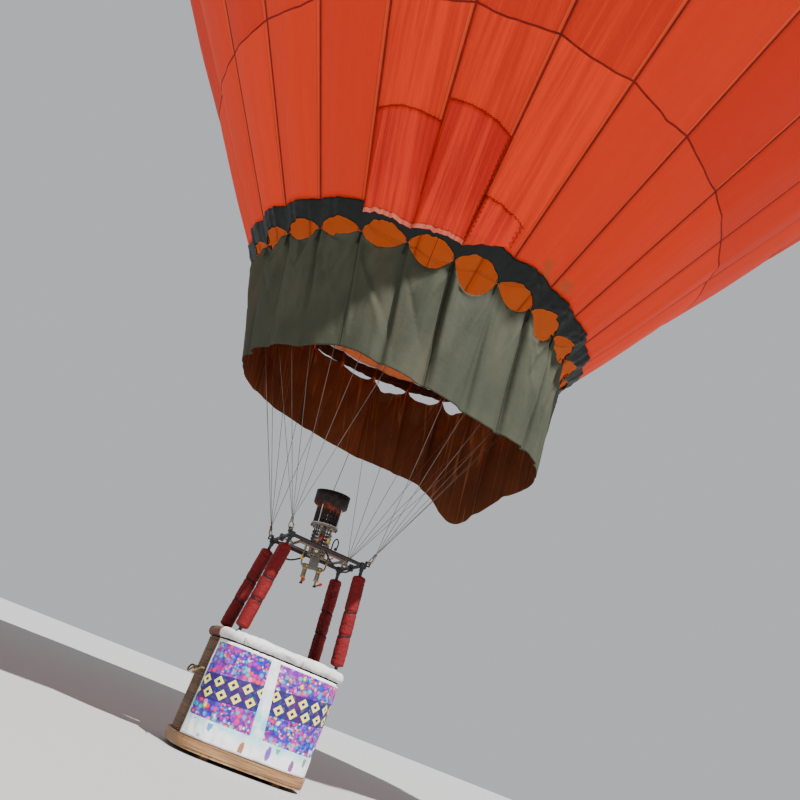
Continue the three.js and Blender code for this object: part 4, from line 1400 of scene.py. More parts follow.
def drape_folds():
    """How far each point of the skirt moves from its cut into its folds."""
    start, _, _ = skirt_cut(fullness=0.12)
    plain, _, _ = skirt_cut()
    rows, columns, _ = start.shape
    theta = tape_angles(SKIRT_PER_GORE)
    share = np.linspace(1, 0, rows)[:, None]
    top = (rows - 1) * columns
    pinned = [top + j for j in range(columns) if j % SKIRT_PER_GORE in (0, 1, SKIRT_PER_GORE - 1)]
    uneven = sum(0.006 * np.sin(k * theta + 1.7 * k) for k in (31, 43, 57, 71))
    start[:-1] += round_axis(uneven, theta, 0)
    faces = quads_of(grid_corners(rows, columns, True)).reshape(-1, 4).tolist()
    moved = settled(start, faces, pinned, 45) - plain
    waves = np.fft.rfft(moved, axis=1)
    waves[:, :6] = 0
    folds_only = np.fft.irfft(waves, n=columns, axis=1)
    calm = 1.5 - 1.42 * np.exp(-((degrees_from(np.degrees(theta), -10) / 36) ** 2))
    lower = 1 - 0.55 * share ** 1.5
    return np.clip(folds_only * (calm * lower)[..., None], -0.1, 0.1)


# %% [markdown]
# ## Creases from the hanging points
# Weight pulls sharp folds down from every point where the cloth hangs, finer than the simulated
# grid. The drape is first given twice as many rows and columns, and each crease is then a ridge or
# valley along a slanting line, which is deepest below its point and widens as it runs out.

# %% Skirt: creases
def finer(folds):
    """The same folds on twice the columns, with a new row between each two."""
    waves = np.fft.rfft(folds, axis=1)
    wide = 2 * np.fft.irfft(waves, n=2 * folds.shape[1], axis=1)
    fine = np.empty((2 * len(wide) - 1, *wide.shape[1:]))
    fine[::2], fine[1::2] = wide, (wide[:-1] + wide[1:]) / 2
    return fine


def tape_creases(down):
    """How far out the cloth stands, for the length of cloth above each point."""
    draw = np.random.default_rng(12)
    place = np.arange(down.shape[1]) / down.shape[1] * SKIRT_GIRTH
    out = np.zeros(down.shape)
    for tape in range(GORES):
        for _ in range(4):
            lean, long = draw.uniform(-0.55, 0.55), draw.uniform(0.25, 0.8)
            deep = draw.choice([-0.040, 0.034]) * draw.uniform(0.45, 1.0)
            away = place - tape * SKIRT_GIRTH / GORES - lean * down
            away = (away + SKIRT_GIRTH / 2) % SKIRT_GIRTH - SKIRT_GIRTH / 2
            crease = np.exp(-np.abs(away) / (0.016 + 0.045 * down) - (down / long) ** 2)
            out += deep * crease * (1 - np.exp(-(down / 0.16) ** 2))
    return out


# %% Skirt
def skirt():
    """The skirt, and the width, greatest length and area of its flat cloth."""
    points, down, drop = skirt_cut(2 * SKIRT_ROWS - 1, 2 * SKIRT_PER_GORE)
    creases = round_axis(tape_creases(down), tape_angles(2 * SKIRT_PER_GORE), 0)
    points = points + finer(drape_folds()) + creases
    wide = np.linspace(0, SKIRT_GIRTH, points.shape[1] + 1)
    uv = np.stack(np.broadcast_arrays(wide, np.hstack([down, down[:, :1]])), -1)
    piece = cloth_piece("skirt_cloth", points, uv, [skirt_outside, skirt_inside], wrap=True,
                        thickness=0.003)
    girth = np.linalg.norm(np.diff(points, axis=1, append=points[:, :1]), axis=2).sum(1)
    width = float(np.median(girth))
    return piece, width, float(np.max(drop)), float(np.mean(drop)) * width


skirt_piece, skirt_width, skirt_length, skirt_area = skirt()
belongs(skirt_piece, "balloon", "skirt")
print("skirt flat", round(skirt_width, 2), "by", round(skirt_length, 2), "area",
      round(skirt_area, 2))


# %% [markdown]
# ## Flying wires
# A thin stainless cable leads from each tape end down to a corner of the burner frame. Six of them
# meet in a ferrule under which a snap hook passes through the frame's lug. The cables are made by a
# node tree from single edges, and the hook is a tube along a rounded loop.

# %% Flying wires
wire_steps = Steps("wires", {
    "Wire Radius": ("Float", 0.0025),
    "Sides": ("Int", 6),
    "Material": ("Material", None),
})
add, given = wire_steps.node, wire_steps.given
wire_lines = add("GeometryNodeMeshToCurve", sockets={0: given("Geometry")})
round_profile = add("GeometryNodeCurvePrimitiveCircle", sockets={
    "Resolution": given("Sides"), "Radius": given("Wire Radius")})
wire_steps.finish(add("GeometryNodeCurveToMesh", sockets={
    "Curve": wire_lines, "Profile Curve": round_profile, "Fill Caps": True}))

LUG_REACH, LUG_RISE, HOOK_RADIUS = 0.046, 0.026, 0.034
FERRULE_SHARES = (0.0, 0.08, 0.2, 0.5, 0.55, 0.9, 1.0)
FERRULE_RADII = (0.006, 0.013, 0.015, 0.015, 0.0135, 0.0135, 0.011)
SOCKET_RUNS = (0.0, 0.02, 0.05, 0.09, 0.10)
SOCKET_RADII = (0.007, 0.0065, 0.0055, 0.005, 0.003)


def wire_fan(name, x, y):
    """Six cables from the tape ends over one corner, with their ferrule and snap hook."""
    middle = math.atan2(y, x)
    outward = round_axis(1.0, middle, 0)
    across = np.cross(UP, outward)
    hole = outward * (FRAME_HALF * math.sqrt(2) + LUG_REACH) + UP * up(FRAME_Z + LUG_RISE)
    lean = unit(outward * 0.42 + UP)
    centre = hole + lean * HOOK_RADIUS
    turn = angles(40)
    long = np.where(np.cos(turn) > 0, 1.25, 1.0)
    loop = (centre + lean * (np.cos(turn) * HOOK_RADIUS * long)[:, None]
            + across * (np.sin(turn) * HOOK_RADIUS * 0.72)[:, None])
    gate = [centre + across * HOOK_RADIUS * 0.72 + lean * s for s in (-0.016, 0.020)]
    low = centre + lean * (HOOK_RADIUS - 0.002)
    ferrule = [low + lean * 0.05 * s for s in FERRULE_SHARES]
    start = low + lean * 0.036
    first = math.ceil((middle - math.pi / 4 - TAPE_PHASE) * GORES / TURN)
    tapes = TAPE_PHASE + (first + np.arange(6)) * TURN / GORES
    ends = round_axis(MOUTH_R - 0.028, tapes, up(MOUTH_Z + 0.004))
    cables = grown(wire_steps, edges_object("lines", [[start, end] for end in ends]),
                   "cables_" + name,
                   {"Wire Radius": 0.0026, "Sides": 6, "Material": wire_steel})
    sockets = [[end + unit(start - end) * s for s in SOCKET_RUNS] for end in ends]
    node = "flying_wires_" + name
    piece = joined(node + "_cable", [
        cables, tubes("hook", [loop], 0.0052, wire_steel, sides=10, closed=True),
        tubes("ferrule", [ferrule], FERRULE_RADII, wire_steel, sides=18),
        tubes("gate", [gate], 0.0082, brass), tubes("sockets", sockets, SOCKET_RADII, brass)])
    belongs(piece, "balloon", node)


for name, (x, y) in CORNERS.items():
    wire_fan(name, x, y)


# %% [markdown]
# ## Tape ends
# Each load tape ends in a webbing loop with a steel link, which holds the flying wire and a tab of
# the skirt.

# %% Tape ends
def tape_end(theta):
    """The paths of one link, one loop of webbing and one tab of the skirt."""
    out = round_axis(1.0, theta, 0)
    top = out * 1.706 + UP * up(4.585)
    turn = angles(16)
    link = (top - UP * 0.03 + np.cross(UP, out) * (np.cos(turn) * 0.020)[:, None]
            + UP * (np.sin(turn) * 0.026)[:, None])
    strap = [out * (1.688 + 0.08 * math.tan(CONE)) + UP * up(4.63), top, top - UP * 0.012]
    tab = [top - UP * 0.045, top - out * 0.008 - UP * 0.10, top - out * 0.012 - UP * 0.17]
    return link, strap, tab


links, straps, tabs = zip(*(tape_end(theta) for theta in tape_angles(1)))
belongs(tubes("tape_links", links, 0.004, wire_steel, sides=6, closed=True), "balloon")
belongs(tubes("tape_loops", straps, 0.013, tape_webbing, flat=0.3), "balloon")
belongs(tubes("skirt_tabs", tabs, 0.014, black_webbing, flat=0.25), "balloon")

# %% [markdown]
# ## The parachute vent and its line
# A round panel closes the hole in the crown from inside. Thin lines from its edge meet in a ring
# under it, and a red line runs from that ring down to the burner frame, where it is pulled.
# The upper lines ride on the vent.

# %% Parachute vent
VENT_R, VENT_ROWS = 2.65, 22


def parachute_vent():
    theta = tape_angles(8)
    radius = np.linspace(VENT_R, 0.02, VENT_ROWS)[:, None]
    _, across = gore_of(theta)
    billow = 0.018 * np.sin(math.pi * across) * np.sin(math.pi * radius / VENT_R)
    points = round_axis(radius, theta, up(dome_height(radius) - 0.08 + billow))
    chord = radius * TURN / GORES
    return gore_cloth("parachute_vent_cloth", points, chord, 30.0 - radius, 0.004)


belongs(parachute_vent(), "vent", "parachute_vent")

# %% Vent lines
SHROUD_R = 2.62
SHROUD_TOP = dome_height(SHROUD_R) - 0.09
GATHER_Z = SHROUD_TOP - 3.2
shrouds = [[round_axis(0.02, a, up(GATHER_Z)), round_axis(SHROUD_R, a, up(SHROUD_TOP))]
           for a in TAPE_PHASE + angles(12)]
vent_lines = joined("vent_shroud_lines", [
    tubes("shrouds", shrouds, 0.003, black_webbing, sides=6),
    tubes("pull_ring", [ring_path(0.024, up(GATHER_Z))], 0.004, wire_steel, closed=True)])
belongs(vent_lines, "vent")
pull_start, pull_end = np.array([0, FRAME_HALF, up(2.016)]), UP * up(GATHER_Z)
pull_path = [between(s, 0, 1, pull_start, pull_end) for s in np.linspace(0, 1, 60)]
pull_line = tubes("vent_pull_line", [pull_path], 0.0032, tape_webbing, sides=6)
tuple(pull_path[12])
tuple(pull_path[-2])
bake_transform(pull_line)

# %% [markdown]
# ## Padded sleeves on the uprights
# Each pole is hidden in a thick red sleeve of foam under artificial leather, closed by a lace on
# its inner side and tied twice with cord. One straight sleeve is swollen by the cloth simulation,
# held at its ends, its lace and its ties, with a little more leather than it needs, so that it
# creases. The four sleeves are that one, turned differently and laid along the poles.

# %% Swollen sleeve
FOOT, SLEEVE_RADIUS = (0.48, 0.40), 0.068
FOOT_Z, HEAD_Z = WALL_HIGH + 0.004, FRAME_Z - 0.04
SLEEVE_SHARE = (0.125, 0.94)
SLEEVE_ROWS, SLEEVE_SIDES = 104, 48
TIE_ROWS = (34, 61)
POLE_LENGTH = math.dist((*FOOT, FOOT_Z), (FRAME_HALF, FRAME_HALF, HEAD_Z))


def swollen(name, start, faces, held, slack, cap):
    """The start after its cloth has swelled, where no point moves further than the cap."""
    rest = settled(start, faces, sorted(held), 20, gravity=0.0, stiff=15, bend=0.05, pressure=4.0,
                   slack=slack)
    push = rest - start
    far = np.linalg.norm(push, axis=2, keepdims=True)
    print(name, "swells by up to", round(float(far.max()), 4))
    return start + push * np.minimum(1, cap / np.maximum(far, 1e-9))


def sleeve_start():
    """Rows by sides of one sleeve that stands on the origin. Side 0 is the lace."""
    length = (SLEEVE_SHARE[1] - SLEEVE_SHARE[0]) * POLE_LENGTH
    height = np.linspace(0, length, SLEEVE_ROWS)
    shape = np.clip(np.minimum(height, length - height) / 0.028, 0, 1)
    radius = 0.024 + 0.0355 * np.sqrt(1 - (1 - shape) ** 2)
    ties = sum(np.exp(-((np.arange(SLEEVE_ROWS) - row) / 1.6) ** 2) for row in TIE_ROWS)
    radius = radius - 0.0075 * ties
    turn = angles(SLEEVE_SIDES)
    lace = 0.006 * np.exp(-(((turn + math.pi) % TURN - math.pi) / 0.10) ** 2)
    return round_axis(radius[:, None] - lace[None, :] * shape[:, None], turn, height[:, None])


def swollen_sleeve():
    start = sleeve_start()
    index = grid_corners(SLEEVE_ROWS, SLEEVE_SIDES, False)
    held = {*index[:2].ravel(), *index[-2:].ravel(), *index[::5, 0], *index[list(TIE_ROWS)].ravel()}
    uneven = np.random.default_rng(5).normal(0, 0.0012, start.shape)
    start[2:-2] += uneven[2:-2]
    faces = quads_of(grid_corners(SLEEVE_ROWS, SLEEVE_SIDES, True)).reshape(-1, 4).tolist()
    sleeve = swollen("sleeve", start, faces, held, slack=0.022, cap=0.010)
    reach = np.linalg.norm(sleeve[..., :2], axis=2, keepdims=True)
    sleeve[..., :2] *= np.minimum(1, SLEEVE_RADIUS / reach)
    return sleeve


# %% Padded sleeves
SLEEVE_TURNS = {"front_left": 0.15, "front_right": -0.5, "back_right": 0.35, "back_left": -0.2}


def sleeve_on_pole(model, turned_by, foot, head, way):
    """The model sleeve along one pole, with its lace near the side that faces the basket."""
    inward = np.array([-foot[0] / FOOT[0], -foot[1] / FOOT[1], 0.0])
    inward = unit(inward - way * (inward @ way))
    aside = np.cross(way, inward)
    c, s = math.cos(turned_by), math.sin(turned_by)
    x = model[..., 0] * c - model[..., 1] * s
    y = model[..., 0] * s + model[..., 1] * c
    start = foot + (head - foot) * SLEEVE_SHARE[0]
    return start + inward * x[..., None] + aside * y[..., None] + way * model[..., 2:]


def ties_and_lace(points, foot, way, seed):
    """Cord round the ties, and a criss-cross lace down the inner side."""
    def from_pole(line):
        away = line - foot
        return away - (away @ way)[:, None] * way

    turn = np.arange(SLEEVE_SIDES)
    loops = []
    for row in TIE_ROWS:
        for extra in (-0.6, 0.6):
            rows = row + extra + 1.6 * np.sin(TURN * turn / SLEEVE_SIDES + seed)
            low = np.floor(rows).astype(int)
            part = (rows - low)[:, None]
            line = points[low, turn] * (1 - part) + points[low + 1, turn] * part
            loops.append(line + unit(from_pole(line)) * 0.0022)
    lacing = []
    for row in range(4, SLEEVE_ROWS - 6, 4):
        ends = points[[row, row + 2, row + 4], [-2, 0, 2]]
        lacing.append(ends + from_pole(ends) * 0.06)
    return [tubes("ties", loops, 0.0032, black_webbing, closed=True),
            tubes("laces", lacing, 0.0022, black_webbing, sides=6)]


def foot_clamp(name, foot, way, across):
    """A clamp round the foot of the pole, with its screw."""
    low, high = foot + way * 0.070, foot + way * 0.098
    side = unit(np.cross(way, across))
    middle = (low + high) / 2
    screw = [middle + side * 0.022, middle + side * 0.040]
    return joined(name, [tubes("clamp", [[low, high]], 0.0255, bright_steel, sides=28),
                         tubes("screw", [screw], 0.006, black_paint, sides=6)])


# %% Four uprights
sleeve_model = swollen_sleeve()
for corner, (x, y) in CORNERS.items():
    name = "upright_sleeve_" + corner
    turned_by = SLEEVE_TURNS[corner]
    foot = np.array([x * FOOT[0], y * FOOT[1], up(FOOT_Z)])
    head = np.array([x * FRAME_HALF, y * FRAME_HALF, up(HEAD_Z)])
    way = unit(head - foot)
    points = sleeve_on_pole(sleeve_model, turned_by, foot, head, way)
    cover = tube_piece(name + "_pad", [points], sleeve_leather)
    belongs(cover, "balloon", name)
    cords = joined(name + "_ties", ties_and_lace(points, foot, way, turned_by * 7))
    belongs(cords, "balloon")
    clamp = foot_clamp(name + "_foot_clamp", foot, way, [x, -y, 0.0])
    belongs(softened(clamp, 0.0015), "balloon")


# %% [markdown]
# ## The basket's wicker
# Willow rods go round the basket in rows, in front of one stake and behind the next, and each row
# swaps the side. The tree copies the outline once for each row, pushes its points in and out with
# the stakes, and gives each rod a tone of its own.

# %% Basket outline
HALF_LENGTH, HALF_WIDTH, ROUNDNESS, WALL_THICK = 0.60, 0.51, 3.4, 0.034


def basket_point(share, grow=0.0):
    """Points of the outline, a rounded rectangle, for shares of a turn from its right-hand end."""
    angle = np.asarray(share, float) * TURN
    c, s = np.cos(angle), np.sin(angle)
    bend = 2 / ROUNDNESS
    return np.stack([np.sign(c) * np.abs(c) ** bend * (HALF_LENGTH + grow),
                     np.sign(s) * np.abs(s) ** bend * (HALF_WIDTH + grow)], -1)


def even_outline(count, grow, first=0.0, last=1.0, closed=True):
    """Points at equal spacing along the outline, and how far along it each one is."""
    fine = basket_point(np.linspace(first, last, round((last - first) * 4000) + 1), grow)
    run = np.concatenate([[0], np.cumsum(np.linalg.norm(np.diff(fine, axis=0), axis=1))])
    at = np.linspace(0, run[-1], count, endpoint=not closed)
    return np.stack([np.interp(at, run, fine[:, 0]), np.interp(at, run, fine[:, 1])], -1), at


def outward_of(flat):
    """Directions square to a line of points, out of the basket."""
    ahead = unit(np.gradient(flat, axis=0))
    return np.stack([ahead[:, 1], -ahead[:, 0]], -1)


def at_height(flat, z):
    return np.column_stack([flat, np.full(len(flat), z)])


# %% Wicker weave
weave_steps = Steps("willow_weave", {
    "Rows": ("Int", 76),
    "Pitch": ("Float", 0.0118),
    "Points": ("Int", 240),
    "Stakes": ("Int", 60),
    "Sway": ("Float", 0.0085),
    "Rod Radius": ("Float", 0.0062),
    "Seed": ("Int", 3),
    "Material": ("Material", None),
})
add, given, sums = weave_steps.node, weave_steps.given, weave_steps.math
outline_curve = add("GeometryNodeMeshToCurve", sockets={0: given("Geometry")})
even = add("GeometryNodeResampleCurve", sockets={0: outline_curve, "Count": given("Points")})
rows_made = add("GeometryNodeDuplicateElements", {"domain": "SPLINE"},
                {0: even, "Amount": given("Rows")})
row_number = rows_made.node.outputs[1]
place_on_row = add("GeometryNodeSplineParameter", output="Factor")
turns_of_stakes = sums("MULTIPLY", place_on_row, sums("MULTIPLY", given("Stakes"), math.pi))
odd = sums("MULTIPLY", sums("MODULO", row_number, 2.0), math.pi)
swing = sums("MULTIPLY", sums("COSINE", sums("ADD", turns_of_stakes, odd)), given("Sway"))
sideways = add("ShaderNodeVectorMath", {"operation": "CROSS_PRODUCT"},
               {0: add("GeometryNodeInputTangent"), 1: (0.0, 0.0, 1.0)})
push = add("ShaderNodeVectorMath", {"operation": "SCALE"}, {0: sideways, "Scale": swing})
uneven = add("FunctionNodeRandomValue", {"data_type": "FLOAT"},
             {2: -0.0009, 3: 0.0009, "Seed": given("Seed")}, output=1)
rise = sums("ADD", sums("MULTIPLY", row_number, given("Pitch")), uneven)
offset = add("ShaderNodeVectorMath", {"operation": "ADD"},
             {0: push, 1: add("ShaderNodeCombineXYZ", sockets={2: rise})})
moved = add("GeometryNodeSetPosition", sockets={0: rows_made, "Offset": offset})
tone = add("FunctionNodeRandomValue", {"data_type": "FLOAT"},
           {"ID": row_number, "Seed": given("Seed")}, output=1)
toned = add("GeometryNodeStoreNamedAttribute", {"data_type": "FLOAT", "domain": "POINT"},
            {0: moved, "Name": "rod", "Value": tone})
rod_profile = add("GeometryNodeCurvePrimitiveCircle", sockets={
    "Resolution": 5, "Radius": given("Rod Radius")})
weave_steps.finish(add("GeometryNodeCurveToMesh", sockets={
    "Curve": toned, "Profile Curve": rod_profile}))

# %% Woven wall
rod_line, _ = even_outline(480, -WALL_THICK / 2)
weave = grown(
    weave_steps, edges_object("outline", [at_height(rod_line, up(WALL_LOW + 0.008))], closed=True),
    "basket_weave", {"Rows": 75, "Pitch": 0.0119, "Points": 240, "Stakes": 60, "Sway": 0.0085,
                     "Rod Radius": 0.0066, "Seed": 3, "Material": willow_rods})
belongs(weave, "balloon", "basket_wall")
stakes, _ = even_outline(60, -WALL_THICK / 2)
stake_lines = [[(x, y, up(WALL_LOW + 0.001)), (x, y, up(WALL_HIGH - 0.001))] for x, y in stakes]
belongs(tubes("basket_stakes", stake_lines, 0.0062, willow_rods, sides=6), "balloon")

# %% [markdown]
# ## The padded rim
# The rim is a fat roll of red-brown leather over foam, sewn from lengths that meet in seams. The
# cloth simulation swells it between the seams and its flat underside.

# %% Padded rim
RIM_COUNT, RIM_SIDES, RIM_SEAMS = 420, 28, 14


def rim_rings():
    """Points of the roll before it is swollen, how near a seam each ring is, and their rise."""
    line, _ = even_outline(RIM_COUNT, -WALL_THICK / 2)
    centre = at_height(line, up(1.0))
    out = np.cross(unit(np.roll(centre, -1, 0) - np.roll(centre, 1, 0)), UP)
    turn = angles(RIM_SIDES)
    run = np.arange(RIM_COUNT) / RIM_COUNT
    seam = np.abs(np.cos(math.pi * RIM_SEAMS * run)) ** 60
    radius = (0.0455 - 0.003 * seam)[:, None] * np.ones((1, RIM_SIDES))
    rise = np.maximum(np.sin(turn)[None, :] * radius, -0.042)
    points = (centre[:, None] + out[:, None] * (np.cos(turn)[None, :] * radius)[..., None]
              + UP * rise[..., None])
    return points, seam, rise


def swollen_rim(points, seam, rise):
    index = grid_corners(RIM_COUNT, RIM_SIDES, False)
    held = {*index[seam > 0.6].ravel(), *index[rise < -0.0405].ravel()}
    uneven = np.random.default_rng(9).normal(0, 0.0008, points.shape)
    start = points + uneven * (rise > -0.04)[..., None]
    return swollen("rim", start, tube_faces(RIM_COUNT, RIM_SIDES, True), held, slack=0.03,
                   cap=0.0035)


rim_start, rim_seam, rim_rise = rim_rings()
rim_points = swollen_rim(rim_start, rim_seam, rim_rise)
rim = tube_piece("basket_rim_leather", [rim_points], rim_leather, closed=True)
belongs(rim, "balloon", "basket_rim")
rim_middle = rim_points.mean(1, keepdims=True)
piping_rings = (rim_middle + (rim_points - rim_middle) * 1.02)[rim_seam > 0.99]
piping = tubes("basket_rim_piping", piping_rings, 0.0028, rim_leather, closed=True)
belongs(piping, "balloon")

# %% [markdown]
# ## The banner
# A printed cloth is wrapped round the front and the right-hand end. The print is a general pattern
# of crowded bright spots, with two staggered rows of diamonds on a dark band, and a white strip
# parts it. Its lower part is white with short coloured strokes. Colours come from the cloth's own
# UV map, in metres.

# %% Finish: banner print
NAVY = (0.012, 0.010, 0.10)
SPOT_COLOURS = [
    (0.0, (0.05, 0.01, 0.30)), (0.14, (0.01, 0.05, 0.55)), (0.3, (0.50, 0.01, 0.26)),
    (0.42, (0.72, 0.03, 0.08)), (0.52, (0.03, 0.30, 0.72)), (0.64, (0.78, 0.22, 0.42)),
    (0.74, (0.22, 0.03, 0.50)), (0.84, (0.02, 0.46, 0.44)), (0.92, (0.85, 0.62, 0.05)),
    (0.96, (0.85, 0.82, 0.88)),
]


def round_cells(f, uv, scale):
    """Crowded round spots, each in a flat colour with a darker edge."""
    cells = f.node("TexVoronoi", {"voronoi_dimensions": "2D"},
                   {"Vector": uv, "Scale": scale, "Randomness": 0.9})
    outputs = cells.socket.node.outputs
    pick = f.node("SeparateColor", sockets={0: Signal(f, outputs["Color"])})
    ramp = f.node("ValToRGB", {"stops": SPOT_COLOURS}, {0: pick})
    ramp.socket.node.color_ramp.interpolation = "CONSTANT"
    edge = Signal(f, outputs["Distance"]).step(0.30, 0.62)
    return f.mix(edge * 0.8, ramp, (0.03, 0.008, 0.16))


def banner_print():
    f = Finish("banner_print")
    across, along, _ = f.parts(f.own_uv())
    uv = f.vector(across, along)
    speckle = f.noise(uv, 6.0, 3.0)
    pattern = f.mix(speckle.step(0.46, 0.54), round_cells(f, uv, 25.0), round_cells(f, uv, 47.0))
    clouds = f.noise(uv, 3.2, 3.0)
    pattern = f.mix(clouds.step(0.5, 0.7) * 0.55, pattern, (0.02, 0.03, 0.40))
    pattern = f.mix((1 - clouds.step(0.36, 0.5)) * 0.45, pattern, (0.45, 0.01, 0.30))
    lean = along - across * 0.10
    pattern = f.mix((lean > 0.300) * (lean < 0.515) * 0.9, pattern, NAVY)
    for row, shift in ((0.458, 0.0), (0.358, 0.5)):
        side = ((across * 8.0 + shift) % 1.0 - 0.5).size() / 8.0
        diamond = side + (lean - row).size()
        pattern = f.mix(1 - diamond.step(0.046, 0.049), pattern, (0.86, 0.74, 0.12))
        pattern = f.mix(1 - diamond.step(0.017, 0.020), pattern, NAVY)
    slope = across + along * 0.10
    strip = (slope > 0.615) * ((slope + along * 0.06) < 0.745)
    border = ((along > 0.785) + (along < 0.17) + (across < 0.02) + strip).clamped()
    cyan = (1 - along.step(0.30, 0.62)) * along.step(0.06, 0.2) * speckle.step(0.3, 0.6)
    white = f.mix(f.noise(uv, 16.0, 5.0).step(0.4, 0.8), (0.86, 0.86, 0.88), (0.66, 0.65, 0.66))
    white = f.mix(cyan * 0.85, white, (0.10, 0.60, 0.66))
    colour = f.mix(border, pattern, white)
    strokes = f.node("TexVoronoi", {"voronoi_dimensions": "2D"},
                     {"Vector": f.stretched(uv, (1.0, 0.4, 1.0)), "Scale": 8.0})
    stroke_outputs = strokes.socket.node.outputs
    ragged_edge = f.noise(uv, 60.0, 3.0) * 0.12
    mark = 1 - (Signal(f, stroke_outputs["Distance"]) + ragged_edge).step(0.22, 0.27)
    mark = mark * (along < 0.15) * (along > 0.02)
    hue = f.node("HueSaturation", sockets={
        "Saturation": 2.0, "Value": 0.55, "Color": Signal(f, stroke_outputs["Color"])})
    colour = f.mix(mark * 0.9, colour, hue)
    threads = (across * 2400.0).sine() * (along * 2400.0).sine()
    creases = f.noise(uv, 11.0, 6.0, 0.6)
    return f.surface(colour, 0.34 + 0.2 * creases, f.bump(threads * 0.0001 + creases * 0.005),
                     Coat_Weight=0.06, Coat_Roughness=0.4, Specular_IOR_Level=0.3)


# %% Banner
BANNER_LOW, BANNER_HIGH = 0.132, 0.941


def banner():
    """The banner, and the width and height of its flat cloth."""
    flat, at = even_outline(170, 0.0, 0.5625, 1.0625, closed=False)
    level = np.linspace(0, 1, 44)[:, None]
    ripple = (0.0022 * np.sin(TURN * at / 0.19 + 2.2 * level)
              + 0.0016 * np.sin(TURN * (at / 0.083 + 1.7 * level))
              + 0.0014 * np.sin(TURN * (at / 0.31 - 2.6 * level) + 1.0))
    spread = flat + outward_of(flat) * (0.0052 + ripple)[..., None]
    height = BANNER_HIGH - BANNER_LOW
    z = np.broadcast_to(up(BANNER_LOW + height * level), spread.shape[:2])
    uv = np.stack(np.broadcast_arrays(at, height * level), -1)
    piece = cloth_piece("banner_cloth", np.concatenate([spread, z[..., None]], -1), uv,
                        [banner_print()], thickness=0.0012)
    return piece, float(at[-1]), height


banner_piece, banner_width, banner_height = banner()
belongs(banner_piece, "balloon", "banner")
print("banner", round(banner_width, 3), "by", round(banner_height, 3))

# %% [markdown]
# ## The white cuff on the rim
# The banner's white top edge is pulled over the padded roll and tucked in behind it. The cuff takes
# its shape from the swollen roll itself, pushed out by its own thickness.

# %% Cuff
def cuff():
    share = np.arange(RIM_COUNT) / RIM_COUNT
    rows = np.concatenate([np.flatnonzero(share > 0.572), np.flatnonzero(share < 0.052)])
    sides = np.arange(-6, 14) % RIM_SIDES
    wall = rim_points[rows][:, sides]
    out = unit(wall - rim_middle[rows])
    i, j = np.meshgrid(np.arange(len(rows)), np.arange(len(sides)), indexing="ij")
    ripple = 0.0012 * np.sin(0.31 * i + 0.5 * j) + 0.0009 * np.sin(0.83 * i - 0.35 * j + 1.0)
    points = (wall + out * (0.0036 + ripple)[..., None]).transpose(1, 0, 2)
    step = np.linalg.norm(np.diff(points, axis=1), axis=2).mean()
    rise = np.linalg.norm(np.diff(points, axis=0), axis=2).mean()
    uv = np.stack(np.meshgrid(np.arange(len(rows)) * step, np.arange(len(sides)) * rise), -1)
    piece = cloth_piece("rim_cuff", points, uv, [white_vinyl], thickness=0.0014)
    return piece, float(step * (len(rows) - 1)), float(rise * (len(sides) - 1))


cuff_piece, cuff_width, cuff_height = cuff()
belongs(cuff_piece, "balloon")
print("cuff", round(cuff_width, 3), "by", round(cuff_height, 3))

# %% [markdown]
# ## Handles, straps and trim
# Rope handles on the wicker are for lifting it. Webbing straps with steel buckles keep the gas
# cylinders in their corners, and leather strips with brass studs guard the basket's corners.

# %% Rope handles
ROPE_CURVE = [(-0.125, -0.004, 0), (-0.122, 0.020, 0), (-0.085, 0.046, 0.035), (0, 0.052, 0.058),
              (0.085, 0.046, 0.035), (0.122, 0.020, 0), (0.125, -0.004, 0)]
rope_fibre = webbing("rope_fibre", (0.30, 0.19, 0.09), (0.15, 0.09, 0.04))


def rope_handle(name, x, y, along, out):
    """A rope handle whose two ends go into the wicker: three strands turned round a curve."""
    middle, along, out = np.array([x, y, up(0.66)]), np.array(along), np.array(out)
    path = smooth_route([middle + along * a + out * b - UP * c for a, b, c in ROPE_CURVE], 10)
    sides, above = frames_along(path)
    turn = np.linspace(0, TURN * 9, len(path))
    strands = [path + 0.0042 * (sides * np.cos(turn + third)[:, None]
                                + above * np.sin(turn + third)[:, None]) for third in angles(3)]
    piece = tubes(name, strands, 0.0046, rope_fibre)
    belongs(piece, "balloon")
    hanging_cord(piece, path)


rope_handle("rope_handle_left_front", -0.603, -0.16, (0, -1, 0), (-1, 0, 0))
rope_handle("rope_handle_left_back", -0.603, 0.16, (0, -1, 0), (-1, 0, 0))
rope_handle("rope_handle_back_left", -0.24, 0.513, (-1, 0, 0), (0, 1, 0))
rope_handle("rope_handle_back_right", 0.24, 0.513, (-1, 0, 0), (0, 1, 0))

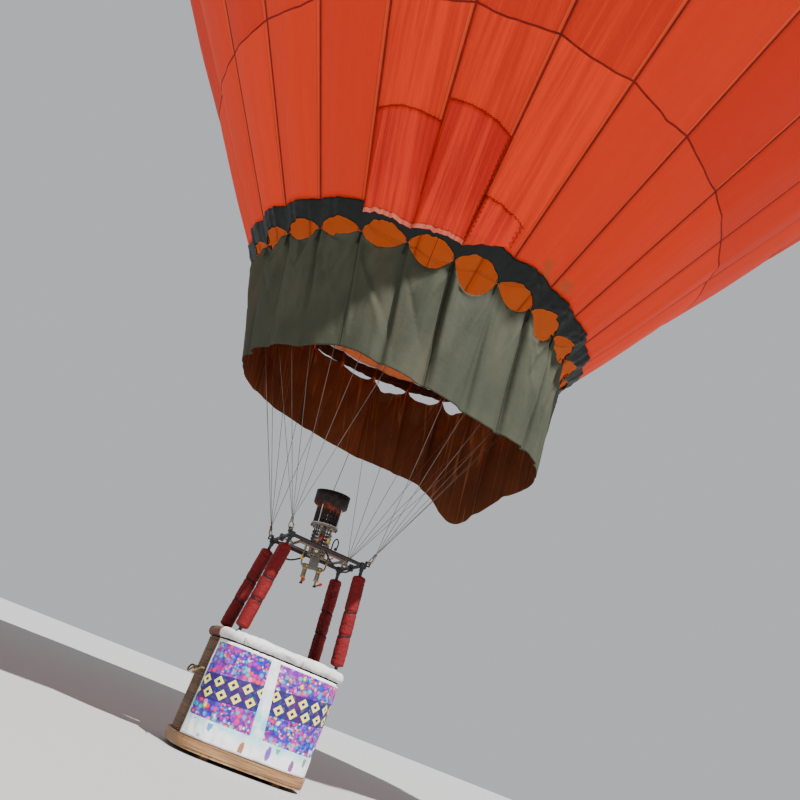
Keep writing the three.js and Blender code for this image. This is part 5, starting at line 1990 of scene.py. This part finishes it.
# %% Cylinder straps
STRAP_PROFILE = [(0.1502, -0.022), (0.1528, -0.0215), (0.1528, 0.0215), (0.1502, 0.022),
                 (0.1490, 0.0)]
BUCKLE = [(-0.03, -0.026), (0.03, -0.026), (0.03, 0.026), (-0.03, 0.026)]
strap_parts, buckle_paths = [], []
for side in (-1, 1):
    for height in (0.24, 0.56):
        x, y, z = side * 0.352, 0.268, up(height)
        strap_parts.append(turned("strap", STRAP_PROFILE, black_webbing, 64,
                                  Matrix.Translation((x, y, z))))
        buckle_paths.append([(x - side * 0.06 + dx, y - 0.1425, z + dz) for dx, dz in BUCKLE])
belongs(joined("cylinder_straps", strap_parts), "balloon")
belongs(tubes("cylinder_buckles", buckle_paths, 0.0035, bright_steel, closed=True), "balloon")


# %% Basket trim
studs = []
for number, share in enumerate((0.125, 0.375), 1):
    line = basket_point(np.linspace(share - 0.028, share + 0.028, 14))
    out = outward_of(line)
    flat = line + out * 0.009
    levels = np.linspace(0.135, 0.93, 26)
    points = np.stack([at_height(flat, up(z)) for z in levels])
    uv = np.stack(np.meshgrid(np.arange(14) * 0.012, levels), -1)
    strip = cloth_piece("corner_leather_" + str(number), points, uv, [rim_leather],
                        thickness=0.003)
    belongs(strip, "balloon")
    for z in np.linspace(0.16, 0.91, 12):
        for k in (1, 12):
            base, away = np.array([*flat[k], up(z)]), np.array([*out[k], 0])
            studs.append([base - away * 0.002, base + away * 0.0035])
stud_piece = tubes("leather_studs", studs, 0.006, brass, sides=10)
belongs(softened(stud_piece, 0.001), "balloon")

# %% [markdown]
# ## Floor, light and world
# A plain pale floor lies under the basket, and a pale world with one soft sun lights it like a
# studio.

# %% Floor, light and world
pale = Finish("pale_floor").surface((0.40, 0.40, 0.39), 0.85)
corners = [(x, y, up(-0.001)) for x, y in ((-400, -400), (400, -400), (400, 400), (-400, 400))]
floor = new_piece("floor", corners, [(0, 1, 2, 3)], [pale])

world = bpy.data.worlds.new("studio")
bpy.context.scene.world = world
world.use_nodes = True
world.node_tree.nodes["Background"].inputs[0].default_value = (0.90, 0.93, 0.97, 1)
world.node_tree.nodes["Background"].inputs[1].default_value = 0.58

sun = bpy.data.lights.new("key_light", "SUN")
sun.energy, sun.angle = 9.6, math.radians(0.8)
lamp = linked("key_light", sun)
lamp.rotation_euler = Vector(direction(-76, 54.9)).to_track_quat("Z", "Y").to_euler()
